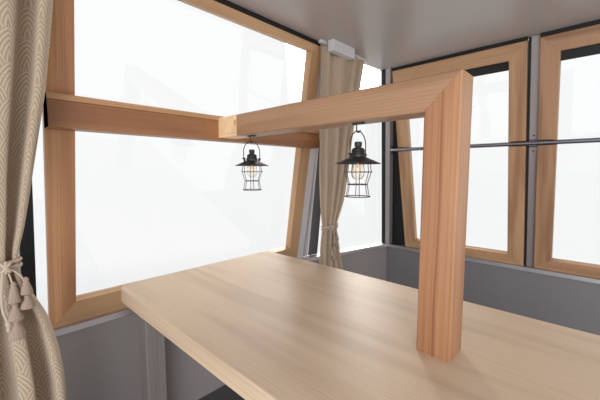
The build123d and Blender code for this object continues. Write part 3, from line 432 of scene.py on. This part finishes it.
PALE_TIMBER, DARK_TIMBER = (206, 166, 126), (150, 108, 74)
TIMBER_NODES = {
    # node: (turn, pith, pale, dark, ring spacing, streaks)
    "side_frame_sill": (ALONG_Y, (-1.10, 0.55, 0), PALE_TIMBER, DARK_TIMBER, 0.005, 0.35),
    "side_frame_head": (ALONG_Y, (-0.62, 1.90, 0), PALE_TIMBER, DARK_TIMBER, 0.005, 0.30),
    "side_frame_stile_front": (SIDE_SLOPE, (-0.90, -1.15, 0), (210, 158, 114), (152, 98, 62), 0.006, 0.45),
    "side_frame_stile_rear": (SIDE_SLOPE, (-0.95, 0.50, 0), PALE_TIMBER, DARK_TIMBER, 0.005, 0.35),
    # transom_fascia: its darker, redder tones paint the shade that falls on its face under the shelf
    "transom_fascia": (ALONG_Y, (-0.70, 1.45, 0), (164, 115, 78), (118, 74, 45), 0.006, 0.40),
    "transom_shelf": (ALONG_Y, (-0.78, 1.40, 0), (204, 160, 118), (148, 102, 66), 0.007, 0.35),
    # portal_beam: its tones are darkened part way from the post's wood to paint the shade on the beam's face
    "portal_beam": (ALONG_X, (1.45, -0.46, 0), (174, 135, 103), (127, 88, 60), 0.007, 0.40),
    "portal_post": (UPRIGHT, (0.10, -0.42, 0), (184, 137, 99), (132, 74, 44), 0.010, 0.45),
    # portal_end_block: its very pale tones paint the sun patch on the beam's end; the knot is the wood's own
    "portal_end_block": (ALONG_Y, (-0.70, 1.50, 0), (255, 222, 178), (206, 156, 110), 0.009, 0.35),
    "table_top": (ALONG_X, (0.30, -1.35, 0), (216, 190, 162), (176, 146, 117), 0.007, 0.35),
}
for leg in ("wall_front", "wall_rear", "free_front", "free_rear"):
    TIMBER_NODES[f"table_leg_{leg}"] = (UPRIGHT, (0.05, -0.35, 0), (134, 126, 122), (104, 96, 91), 0.007, 0.3)
HEARTWOOD = {"portal_post": 0.147}
KNOTS = {"portal_end_block": ((-0.668, -0.360, 1.553), (0.012, 0.030, 0.0155))}
for node, (turn, pith, pale, dark, spacing, streaks) in TIMBER_NODES.items():
    finish_node(node, timber(f"timber_{node}", turn, pith, pale, dark, spacing, streaks,
                             heart=HEARTWOOD.get(node, NO_HEARTWOOD), knot=KNOTS.get(node)))


# Sizes of an end window's frame, and the widths of its bars, up its own slope
END_FRAME_WIDTH, END_FRAME_RISE = 0.820, 1.383
END_STILE, END_SILL, END_HEAD = 0.090, 0.070, 0.090


def end_frame_vector(start):
    """Grain that runs up the stiles and along the sill and head, and changes over at the mitres.

    The frame lies in its own slope, from start along X and from its foot up.
    """
    def build(t):
        place = t.parts(t.rotated(object_place(t), END_SLOPE))
        foot = SILL_Z * math.cos(LEAN) - END_FOOT_Y * math.sin(LEAN)
        top = foot + END_FRAME_RISE
        from_left = t.math("DIVIDE", t.math("SUBTRACT", place[0], start), END_STILE)
        from_right = t.math("DIVIDE", t.math("SUBTRACT", start + END_FRAME_WIDTH, place[0]), END_STILE)
        from_foot = t.math("DIVIDE", t.math("SUBTRACT", place[2], foot), END_SILL)
        from_head = t.math("DIVIDE", t.math("SUBTRACT", top, place[2]), END_HEAD)
        across = t.math("MINIMUM", from_left, from_right)
        lying = t.math("LESS_THAN", t.math("MINIMUM", from_foot, from_head), across)
        upright = t.joined(place[0], place[1], place[2])
        level = t.joined(place[2], place[1], place[0])
        return t.mix(lying, upright, level)
    return build


END_FRAMES = {
    # node: (where it starts along X, pale, dark)
    "end_frame_1": (-0.667, (198, 156, 118), (140, 98, 66)),
    # end_frame_2: darker than end_frame_1 to paint the shade on it; both are the same wood
    "end_frame_2": (0.210, (184, 142, 108), (126, 86, 58)),
}
for node, (start, pale, dark) in END_FRAMES.items():
    finish_node(node, timber(f"timber_{node}", None, (start - 0.35, 1.10, 0), pale, dark, 0.006, 0.6,
                             vector=end_frame_vector(start)))

# Numbers after a colour: roughness and clouding where painted, roughness where drawn
GREY_POST = painted("aluminium_post", tone(164, 156, 156), 0.40, 0.10, metallic=0.35)
# The rear post's paint is paler than the other grey posts' to paint the light on its face
REAR_POST_LIT_PAINT = painted("rear_post_lit_paint", tone(214, 210, 214), 0.42, 0.10)
# A flat dark grey laid beside the rear post paints the shade on the post's side
REAR_POST_SIDE_SHADE = painted("rear_post_side_painted_shade", tone(98, 96, 100), 0.70, 0.2)
# A near-black, almost unshining tone that paints the shade at the transom's front end
TRANSOM_END_SHADE = painted("transom_end_painted_shade", tone(22, 20, 19), 0.95, 0.3, specular_ior_level=0.05)
BLACK_METAL = painted("lantern_black_paint", tone(38, 37, 38), 0.5, 0.35, relief=0.00008)
RUBBER = painted("black_rubber", tone(20, 20, 22), 0.62, 0.3)
GLASS = clear_glass("window_glass", (0.97, 0.985, 0.99, 1), 0.02)
PLAIN_FINISHES = {
    "floor_panel": painted("chassis_grey_paint", tone(120, 122, 126), 0.45),
    "deck": painted("deck_dark_sheet", tone(84, 84, 88), 0.6, 0.2, relief=0.0003),
    "lower_wall_side": painted("wall_grey_paint", tone(154, 147, 146), 0.38, 0.08),
    # The end wall's darker grey paints the shade on it; its paint is the side wall's
    "lower_wall_end": painted("end_wall_shaded_grey_paint", tone(126, 122, 124), 0.38, 0.08),
    "ledge_side": drawn("ledge_aluminium", tone(220, 213, 214), ALONG_Y, 0.36),
    "ledge_end": drawn("ledge_end_aluminium", tone(186, 182, 184), ALONG_X, 0.36),
    "post_side_front": painted("black_post_paint", tone(26, 26, 28), 0.35, 0.2),
    "post_side_rear": REAR_POST_LIT_PAINT,
    "post_corner": GREY_POST,
    "roof_panel": painted("ceiling_grey_paint", tone(176, 166, 162), 0.32, 0.05, relief=0.00001),
    "roof_beams": painted("beam_grey_paint", tone(112, 114, 118), 0.45),
    "gasket_corner": RUBBER,
    "pane_side": GLASS,
    "handrail": drawn("handrail_steel", tone(152, 154, 164), ALONG_X, 0.26),
    "hook_near": BLACK_METAL,
    "lantern_near_cage": painted("cage_brown_paint", tone(70, 46, 36), 0.45, 0.4, relief=0.00008),
    "ceiling_box": painted("white_box_plastic", tone(214, 214, 216), 0.45, 0.08),
}
SAME_FINISH = {
    "lower_wall_side": ("lower_wall_corner",),
    "ledge_side": ("ledge_corner",),
    "post_side_front": ("post_side_open",),
    "post_corner": ("post_end_middle", "post_end_open"),
    "gasket_corner": ("ceiling_seal", "gasket_end_middle", "gasket_end_open", "vent_bars"),
    "pane_side": ("pane_side_open", "pane_corner", "pane_end_near", "pane_end_far"),
    "hook_near": ("hook_far", "lantern_near_hood", "lantern_far_hood", "lantern_near_bail",
                  "lantern_far_bail"),
    "lantern_near_cage": ("lantern_far_cage",),
    "ceiling_box": ("curtain_track_front", "curtain_track_corner"),
}
for node, material in PLAIN_FINISHES.items():
    for same in (node, *SAME_FINISH.get(node, ())):
        finish_node(same, material)


# Pieces

def add_object(name, data):
    """Links a new object of this mesh, curve, lamp or camera."""
    made = bpy.data.objects.new(name, data)
    bpy.context.scene.collection.objects.link(made)
    return made


def piece(name, bm, material, body="cabin", smooth=True):
    """Makes a named piece of a bmesh, and lets it ride on its body."""
    mesh = bpy.data.meshes.new(name)
    bm.to_mesh(mesh)
    bm.free()
    mesh.materials.append(material)
    for face in mesh.polygons:
        face.use_smooth = smooth
    made = add_object(name, mesh)
    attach(made, body)
    return made


def turned(profile, place, steps=40):
    """A bmesh turned round an upright axis through a place, from points of (radius, height over the place)."""
    x, y, z = place
    bm = bmesh.new()
    line = [bm.verts.new((radius, 0, z + height)) for radius, height in profile]
    edges = [bm.edges.new(pair) for pair in zip(line, line[1:])]
    bmesh.ops.spin(bm, geom=line + edges, cent=(0, 0, 0), axis=(0, 0, 1), angle=2 * math.pi, steps=steps,
                   use_merge=True)
    bmesh.ops.remove_doubles(bm, verts=bm.verts, dist=0.00001)
    bmesh.ops.recalc_face_normals(bm, faces=bm.faces)
    bmesh.ops.translate(bm, verts=bm.verts, vec=(x, y, 0))
    return bm


def thicken(made, thickness, offset):
    """Gives an open shell its wall: offset 0 to both sides, -1 inwards."""
    skin = made.modifiers.new("thickness", "SOLIDIFY")
    skin.thickness, skin.offset = thickness, offset


# Curtains: a flat cloth in metres, laid in folds that keep its width where there is room for them

CURTAIN_CLOTH = fan_cloth("curtain_fan_weave", tone(180, 159, 134), tone(216, 197, 174), thread=0.0011,
                          fan_width=0.112, slub=0.3)
CLOTH_COLUMNS, CLOTH_ROWS = 168, 130
CLOTH_THICKNESS = 0.0014
HEM_Z = 0.145
DEPTH_TRIALS = 12  # halvings of the fold depth at each level
ROUNDING = 0.011  # from one height to the next of those that are averaged to round a corner
CURTAINS = {
    # halves, middles and reaches are the half width, the middle along Y and the deepest fold by height;
    # ring is half the size of the tied waist, out of the curtain and along it
    "front": {"x": -0.6803, "folds": 4, "width": 0.78, "seed": 1.7, "tie_z": 1.085, "knot_y": -1.130,
              "ring": (0.0325, 0.0580),
              "halves": ((TRACK_LOW, 0.210), (1.835, 0.184), (1.579, 0.151), (1.288, 0.098),
                         (1.156, 0.068), (1.115, 0.052), (1.055, 0.052), (0.911, 0.113), (0.813, 0.132),
                         (0.705, 0.144), (HEM_Z, 0.165)),
              "middles": ((TRACK_LOW, -1.165), (1.320, -1.162), (1.085, -1.153), (HEM_Z, -1.160)),
              "reaches": ((TRACK_LOW, 0.040), (1.40, 0.038), (1.130, 0.024), (1.05, 0.024),
                          (0.88, 0.030), (0.70, 0.042), (HEM_Z, 0.044))},
    "corner": {"x": -0.7163, "folds": 4, "width": 0.62, "seed": 4.2, "tie_z": 0.998, "knot_y": 0.355,
               "ring": (0.0205, 0.0710),
               "halves": ((TRACK_LOW, 0.226), (1.905, 0.200), (1.545, 0.152), (1.351, 0.136),
                          (1.159, 0.112), (1.066, 0.086), (1.030, 0.066), (0.970, 0.066), (0.907, 0.080),
                          (0.790, 0.100), (0.696, 0.116), (HEM_Z, 0.120)),
               "middles": ((TRACK_LOW, 0.500), (1.905, 0.480), (1.545, 0.435), (1.159, 0.398),
                           (1.010, 0.372), (0.907, 0.374), (0.696, 0.392), (HEM_Z, 0.400)),
               "reaches": ((TRACK_LOW, 0.026), (1.30, 0.026), (1.030, 0.015), (0.960, 0.015),
                           (0.80, 0.018), (0.70, 0.026), (HEM_Z, 0.030))},
}


def eased(points, z):
    """Value at a height between (height, value) points, which go downwards; their corners are rounded."""
    def straight(level):
        for (high, a), (low, b) in zip(points, points[1:]):
            if level >= low:
                return a + (b - a) * min(max((high - level) / (high - low), 0), 1)
        return points[-1][1]
    steps = range(-3, 4)
    return sum(straight(z + ROUNDING * step) for step in steps) / len(steps)


def fold_line(folds, half, depth, z, seed):
    """Points across one level of the cloth, as (along the curtain, out of it).

    The folds are one long wave. Noise lets it drift, swell and crumple, and it calms towards the two edges.
    """
    line = []
    for column in range(CLOTH_COLUMNS + 1):
        u = column / CLOTH_COLUMNS
        edge = (2 * u - 1) ** 4
        drift = 0.42 * noise.noise((u * 2.4, z * 0.5, seed)) + 0.10 * noise.noise((u * 7.0, z * 1.4, seed + 7))
        turn = 2 * math.pi * (folds * u + 0.5 + drift * (1 - edge))
        round_off = math.sqrt(1 - 0.45 * edge)
        swell = 1 + 0.40 * noise.noise((u * folds * 0.9, z * 0.7, seed + 3))
        along = half * (2 * u - 1) - 0.20 * depth * math.sin(2 * turn) * (1 - edge)
        crumple = 0.0012 * noise.noise((u * 30, z * 9, seed + 11))
        fold = math.sin(turn) + 0.14 * math.cos(2 * turn)
        line.append((along, depth * round_off * swell * fold + crumple))
    return line


def fitted_line(shape, z):
    """The fold line at a height, as deep as the cloth's width needs, but no deeper than its reach there."""
    half = eased(shape["halves"], z)
    low, high = 0.0, eased(shape["reaches"], z)
    for _ in range(DEPTH_TRIALS):
        depth = (low + high) / 2
        line = fold_line(shape["folds"], half, depth, z, shape["seed"])
        if sum(math.dist(a, b) for a, b in zip(line, line[1:])) < shape["width"]:
            low = depth
        else:
            high = depth
    return line


def curtain(side, shape):
    """One gathered curtain, whose flat grid becomes its UV map before it is laid level by level."""
    width, length = shape["width"], TRACK_LOW - HEM_Z
    bm = bmesh.new()
    bmesh.ops.create_grid(bm, x_segments=CLOTH_COLUMNS, y_segments=CLOTH_ROWS, size=0.5)
    flat = bm.loops.layers.uv.new("flat")
    levels = {}
    for vert in bm.verts:
        vert.co = ((vert.co.x + 0.5) * width, (vert.co.y + 0.5) * length, 0)
        levels.setdefault(round(vert.co.y, 5), []).append(vert)
    for face in bm.faces:
        for loop in face.loops:
            loop[flat].uv = loop.vert.co.xy
    for level, verts in levels.items():
        z = HEM_Z + level
        middle = eased(shape["middles"], z)
        verts.sort(key=lambda vert: vert.co.x)
        for vert, (along, out) in zip(verts, fitted_line(shape, z)):
            vert.co = (shape["x"] + out, middle + along, z)
    made = piece(f"curtain_cloth_{side}", bm, CURTAIN_CLOTH)
    thicken(made, CLOTH_THICKNESS, 0)
    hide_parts(f"curtain_{side}")


for side, shape in CURTAINS.items():
    curtain(side, shape)


# Tie-backs: cords round the waist, a knot, chains of tassels on cords, and a hanging cord with its own knot

TIE_CORD = painted("tie_cord_cotton", tone(190, 172, 154), 0.85, 0.3)
TASSEL_THREAD = painted("tassel_thread", tone(164, 144, 129), 0.9, 0.35)
# One closed loop of cord, as shares of its reach one way and the other
RING_POINTS = ((1, -0.5), (1, 0.5), (0.6, 1), (-0.6, 1), (-1, 0.5), (-1, -0.5), (-0.6, -1), (0.6, -1))
RING_DIAMETER, KNOT_DIAMETER = 0.0090, 0.0088
RING_LEVELS = ((-0.009, 0.004), (0.0, -0.003), (0.009, 0.003))  # height over the waist, and tilt
KNOT_LEANS = ((-0.6, 0.8), (0.0, 1.0), (0.6, 0.8))  # each loop's share along the curtain, and up
# How far the knot's middle stands off the rings, and half the depth and half the reach of its loops
KNOT_OFF_RING, KNOT_DEPTH, KNOT_REACH = 0.008, 0.009, 0.014
TASSEL_CORD_DIAMETER, HANGING_DIAMETER = 0.0044, 0.0076
TASSEL_CHAINS = (
    # cord from the knot down through the tassels, its length, and the drop of each tassel's head and hem
    (((0.002, 0.002, -0.004), (0.005, 0.006, -0.022), (0.009, 0.010, -0.044), (0.010, 0.012, -0.085),
      (0.010, 0.012, -0.185)), 0.182, ((0.045, 0.097), (0.101, 0.146), (0.151, 0.197))),
    (((0.002, 0.008, -0.004), (0.006, 0.022, -0.018), (0.010, 0.034, -0.036), (0.010, 0.038, -0.066),
      (0.010, 0.038, -0.110)), 0.116, ((0.037, 0.080), (0.085, 0.120))),
)
HANGING_CORD = ((0, -0.006, -0.006), (0.002, -0.009, -0.030), (0.004, -0.013, -0.070),
                (0.005, -0.014, -0.108), (0.006, -0.010, -0.132), (0.006, -0.004, -0.152))
TASSEL_HEAD = ((0.0026, 0.003), (0.0060, 0.001), (0.0070, -0.004), (0.0056, -0.007), (0.0072, -0.010))
# The first skirt's radius, what each next one adds to it, and the radius past which threads are pleated
SKIRT_RADIUS, SKIRT_GROWTH, PLEATED_FROM = 0.0135, 0.0025, 0.0079
END_KNOT = ((0.0, 0.007), (0.0045, 0.006), (0.0076, 0.001), (0.0072, -0.004), (0.0046, -0.008),
            (0.0044, -0.010), (0.0062, -0.022), (0.0, -0.023))


def rope(name, points, diameter, closed=False):
    """A round cord whose smooth line has these control points."""
    line = bpy.data.curves.new(name, "CURVE")
    line.dimensions, line.resolution_u = "3D", 8
    line.bevel_depth, line.bevel_resolution = diameter / 2, 3
    spline = line.splines.new("NURBS")
    spline.points.add(len(points) - 1)
    for point, place in zip(spline.points, points):
        point.co = (*place, 1)
    spline.order_u = 3
    spline.use_cyclic_u, spline.use_endpoint_u = closed, not closed
    line.materials.append(TIE_CORD)
    made = add_object(name, line)
    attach(made, "cabin")
    return made


def tassels(name, x, y, z, skirts):
    """A chain of tassels on one cord, each a bound head and a skirt of threads, wider down the chain."""
    first, last = skirts[0][0], skirts[-1][1]
    profile = [(0.0, 0.006 - first), (0.0022, 0.005 - first)]
    for number, (head, hem) in enumerate(skirts):
        wide = SKIRT_RADIUS + SKIRT_GROWTH * number
        profile += [(radius, height - head) for radius, height in TASSEL_HEAD]
        profile += [(wide * 0.80, -(head + hem) / 2 - 0.004), (wide, 0.002 - hem), (wide, -hem),
                    (wide * 0.7, 0.003 - hem), (0.0028, 0.004 - hem)]
    profile.append((0.0, 0.004 - last))
    bm = turned(profile, (0, 0, z), 96)
    for vert in bm.verts:
        if vert.co.xy.length > PLEATED_FROM:
            angle = math.atan2(vert.co.y, vert.co.x)
            ruffle = noise.noise((4 * math.cos(angle), 4 * math.sin(angle), 60 * vert.co.z))
            pleat = 1 + 0.06 * math.cos(24 * angle) + 0.10 * ruffle
            vert.co.x, vert.co.y = vert.co.x * pleat, vert.co.y * pleat
    bmesh.ops.translate(bm, verts=bm.verts, vec=(x, y, 0))
    return piece(name, bm, TASSEL_THREAD)


def tie_back(side, shape):
    """Rings of cord round a curtain's waist, and all that hangs from the knot on them."""
    x, z = shape["x"], shape["tie_z"]
    y = eased(shape["middles"], z)
    reach_x, reach_y = shape["ring"]
    knot = Vector((x + reach_x + KNOT_OFF_RING, shape["knot_y"], z))
    for number, (level, tilt) in enumerate(RING_LEVELS):
        points = [(x + reach_x * a, y + reach_y * b, z + level + tilt * b) for a, b in RING_POINTS]
        ring = rope(f"tie_ring_{side}_{number}", points, RING_DIAMETER, closed=True)
        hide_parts(f"tie_back_{side}")
    for number, (lean, rise) in enumerate(KNOT_LEANS):
        points = [knot + Vector((KNOT_DEPTH * a, KNOT_REACH * b * lean, KNOT_REACH * b * rise))
                  for a, b in RING_POINTS]
        rope(f"tie_knot_{side}_{number}", points, KNOT_DIAMETER, closed=True)
    for number, (route, length, skirts) in enumerate(TASSEL_CHAINS):
        points = [knot + Vector(point) for point in route]
        chain = tassels(f"tassels_{side}_{number}", points[-1].x, points[-1].y, z, skirts)
        cord = rope(f"tassel_cord_{side}_{number}", points, TASSEL_CORD_DIAMETER)
    points = [knot + Vector(point) for point in HANGING_CORD]
    end_knot = piece(f"tie_end_knot_{side}", turned(END_KNOT, points[-1], 32), TIE_CORD)
    cord = rope(f"tie_cord_{side}", points, HANGING_DIAMETER)


for side, shape in CURTAINS.items():
    tie_back(side, shape)


# Covers: a tapered pale cover beside the rear post, its paint paler to paint the light on it, with a dark strip
# that paints the shade of the post's side; and a near-black pad on the transom's front end that paints the
# shade there

PLATE_THICKNESS, PLATE_SOFTENING = 0.002, 0.0004
# Where the turned pane starts at its foot and at its head, and its way from there
PANE_FOOT, PANE_FOOT_WAY = Vector((-1.075, 0.480, 0.7205)), Vector((0.199, 0.849, 0)).normalized()
PANE_HEAD, PANE_HEAD_WAY = Vector((-0.774, 0.392, 2.0770)), Vector((0.033, 0.636, 0)).normalized()
OFF_PANE = Vector((0.0030, -0.0006, 0))
COVERS = {
    # name: (start and end along the pane's foot, the same at its head, material, slot)
    # rear_post_cover: a pale plate whose paint paints the light on the post's face
    "rear_post_cover": ((0.002, 0.070), (0.002, 0.014), REAR_POST_LIT_PAINT, "post_grey"),
    # A dark strip that paints the shade of the post's side
    "rear_post_shade_strip": ((0.071, 0.155), (0.015, 0.075), REAR_POST_SIDE_SHADE, "seal_rubber"),
}
# The pad at the transom's front end is near black to paint the shade there
PAD_Y, PAD_THICKNESS = -0.992, -0.0025
PAD_CORNERS = ((-0.866, 1.4875), (-0.7985, 1.4875), (-0.7985, 1.5945), (-0.846, 1.5945))


def plate(name, corners, thickness, material):
    """A thin plate with these corners and softened edges; a thickness below 0 goes to its other side."""
    bm = bmesh.new()
    face = bm.faces.new([bm.verts.new(corner) for corner in corners])
    bmesh.ops.solidify(bm, geom=[face], thickness=thickness)
    bmesh.ops.recalc_face_normals(bm, faces=bm.faces)
    bmesh.ops.bevel(bm, geom=bm.edges, offset=PLATE_SOFTENING, affect="EDGES", segments=2, profile=0.5,
                    material=-1)
    piece(name, bm, material, smooth=False)


for name, (foot, head, material, slot) in COVERS.items():
    feet = [PANE_FOOT + OFF_PANE + PANE_FOOT_WAY * reach for reach in foot]
    heads = [PANE_HEAD + OFF_PANE + PANE_HEAD_WAY * reach for reach in head]
    plate(name, (feet[0], feet[1], heads[1], heads[0]), PLATE_THICKNESS, material)
# A near-black pad that paints the shade at the transom's front end
plate("transom_end_shade_pad", [(x, PAD_Y, z) for x, z in PAD_CORNERS], PAD_THICKNESS, TRANSOM_END_SHADE)


# Screws on the hook plates and on the end posts, over and under the handrail

SCREW_STEEL = drawn("screw_steel", tone(104, 102, 104), UPRIGHT, 0.35)
SCREW_HEAD = ((0.0024, 0.0), (0.0024, 0.0018), (0.0042, 0.0022), (0.0054, 0.0012), (0.0058, 0.0))
RECESS_RADIUS, RECESS_FLOOR = 0.0024, 0.0004
# From the handrail to a screw, from a hook's middle to a screw, and the thickness of the hook's plate
SADDLE_STEP, HOOK_STEP, HOOK_PLATE = 0.045, 0.016, 0.003


def screws(name, places, facing):
    """Domed screw heads, each with a six-sided recess, facing one way."""
    turn = Vector(facing).to_track_quat("Z", "Y").to_matrix().to_4x4()
    bm = bmesh.new()
    for place in places:
        head = turned(SCREW_HEAD, (0, 0, 0), 24)
        recess = bmesh.ops.create_circle(head, cap_ends=True, segments=6, radius=RECESS_RADIUS)["verts"]
        bmesh.ops.translate(head, verts=recess, vec=(0, 0, RECESS_FLOOR))
        head.transform(Matrix.Translation(place) @ turn)
        mesh = bpy.data.meshes.new("screw_head")
        head.to_mesh(mesh)
        head.free()
        bm.from_mesh(mesh)
        bpy.data.meshes.remove(mesh)
    piece(name, bm, SCREW_STEEL)


rail_low, rail_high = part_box("handrail")
rail_z = (rail_low.z + rail_high.z) / 2
for post in ("post_end_middle", "post_end_open"):
    low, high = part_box(post)
    places = [((low.x + high.x) / 2, low.y + (high.z - z) * math.tan(LEAN), z)
              for z in (rail_z - SADDLE_STEP, rail_z + SADDLE_STEP)]
    screws(f"screws_{post}", places, (0, -math.cos(LEAN), -math.sin(LEAN)))
for side in ("near", "far"):
    low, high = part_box(f"hook_{side}")
    middle = (low.x + high.x) / 2
    places = [(middle + step, PORTAL_Y, high.z - HOOK_PLATE) for step in (-HOOK_STEP, HOOK_STEP)]
    screws(f"screws_hook_{side}", places, (0, 0, -1))


# Lantern bulbs: a socket, a clear glass and a glowing filament

BULB_GLASS = clear_glass("bulb_glass", (1.0, 0.97, 0.92, 1), 0.01)
BRASS = drawn("socket_brass", tone(176, 140, 84), UPRIGHT, 0.3)
BULB_WALL = 0.0008
SOCKET_HEIGHT = 0.014
SOCKET = ((0.0, 0.0), (0.014, 0.0), (0.014, -0.004), (0.0128, -0.005), (0.014, -0.006), (0.0128, -0.008),
          (0.014, -0.010), (0.014, -SOCKET_HEIGHT), (0.0, -SOCKET_HEIGHT))
# The glass and the filament, from the foot of the socket down
BULB = ((0.0, -0.080), (0.008, -0.0795), (0.015, -0.076), (0.020, -0.069), (0.022, -0.059),
        (0.022, -0.048), (0.020, -0.034), (0.015, -0.020), (0.013, -0.011), (0.013, 0.0))
FILAMENT = ((0.0, -0.014), (0.0016, -0.015), (0.0024, -0.038), (0.0016, -0.062), (0.0, -0.063))


def filament_glow():
    """A soft warm glow, low enough to leave the lantern's cage dark."""
    material, _, shader = new_material("filament_glow")
    shader["Base Color"].default_value = tone(214, 150, 78)
    shader["Emission Color"].default_value = tone(240, 160, 76)
    shader["Emission Strength"].default_value = 0.8
    return material


GLOW = filament_glow()
for side in ("near", "far"):
    body = f"lantern_{side}"
    low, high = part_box(f"lantern_{side}_bulb")
    top = ((low.x + high.x) / 2, PORTAL_Y, high.z)
    neck = (top[0], top[1], top[2] - SOCKET_HEIGHT)
    glass = piece(f"bulb_glass_{side}", turned(BULB, neck), BULB_GLASS, body)
    thicken(glass, BULB_WALL, -1)
    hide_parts(f"lantern_{side}_bulb")
    piece(f"bulb_socket_{side}", turned(SOCKET, top), BRASS, body)
    piece(f"bulb_filament_{side}", turned(FILAMENT, neck, 12), GLOW, body)


# Stage, light and camera

FLOOR_SIZE = 60
SHADOW_REACH, WHITE_REACH = 2.2, 5.0  # the floor turns from its own pale tone to white between them
SKY_COLOUR, SKY_STRENGTH = (0.96, 0.98, 1.0, 1), 0.8
# The camera: its place, the way it looks along the floor, how far it looks down, and its lens
CAMERA_PLACE = (0.520, -1.205, 1.344)
CAMERA_WAY = (-0.6871, 0.7266)
CAMERA_PITCH = math.radians(5.1)
SENSOR_MM, LENS_MM = 36, 19.44
LAMPS = {
    # name: (place, aim, size, power, colour)
    "room_softbox": ((2.5, -3.9, 2.2), (-0.3, 0.3, 1.2), 3.0, 80, (1, 1, 1)),
    "low_softbox": ((2.5, -3.0, 0.7), (-0.3, 0.3, 1.9), 1.8, 40, (1, 1, 1)),
    "window_softbox": ((-2.6, 2.8, 3.1), (0.0, -0.6, 0.85), 1.4, 90, (1.0, 0.95, 0.88)),
}


def studio_floor():
    """A pale floor that keeps the cabin's shadow and, far out, shows as white as the backdrop."""
    bpy.ops.mesh.primitive_plane_add(size=FLOOR_SIZE, location=(0, 0, 0))
    floor = bpy.context.object
    floor.name = "studio_floor"
    material, t, shader = new_material("studio_floor_pale", 0.7)
    place = object_place(t)
    t.feed(shader["Base Color"], t.ramp(t.noise(place, 0.6, 2), ((0.3, 0.80), (0.7, 0.84))))
    far_out = t.between(t.vector("LENGTH", place), SHADOW_REACH, WHITE_REACH)
    t.end_mix(t.math("MULTIPLY", far_out, t.seen()), t.add("ShaderNodeEmission").outputs[0])
    floor.data.materials.append(material)


def studio_world():
    """Even cool light from all round, and a plain white backdrop where it is seen."""
    world = bpy.data.worlds.new("studio")
    bpy.context.scene.world = world
    world.use_nodes = True
    t = Tree(world.node_tree)
    light = world.node_tree.nodes["Background"]
    light.inputs["Color"].default_value = SKY_COLOUR
    light.inputs["Strength"].default_value = SKY_STRENGTH
    backdrop = t.add("ShaderNodeBackground")
    backdrop.inputs["Color"].default_value = (1, 1, 1, 1)
    t.end_mix(t.seen(), backdrop.outputs[0], "Background", "World Output")


def lamp(name, place, aim, size, power, colour):
    """A square soft lamp that the camera doesn't see."""
    light = bpy.data.lights.new(name, "AREA")
    light.size, light.energy, light.color = size, power, colour
    made = add_object(name, light)
    made.location = place
    made.rotation_euler = (Vector(aim) - Vector(place)).to_track_quat("-Z", "Y").to_euler()
    made.visible_camera = False


def photo_camera():
    """The camera at the photo's viewing angle: just inside the open corner, looking a little down."""
    lens = bpy.data.cameras.new("photo_view")
    lens.sensor_width, lens.lens = SENSOR_MM, LENS_MM
    camera = add_object("photo_view", lens)
    level = math.cos(CAMERA_PITCH)
    heading = Vector((CAMERA_WAY[0] * level, CAMERA_WAY[1] * level, -math.sin(CAMERA_PITCH)))
    camera.location = CAMERA_PLACE
    camera.rotation_euler = heading.to_track_quat("-Z", "Y").to_euler()
    bpy.context.scene.camera = camera


studio_floor()
studio_world()
for name, settings in LAMPS.items():
    lamp(name, *settings)
photo_camera()
bpy.context.scene.view_settings.view_transform = "Standard"
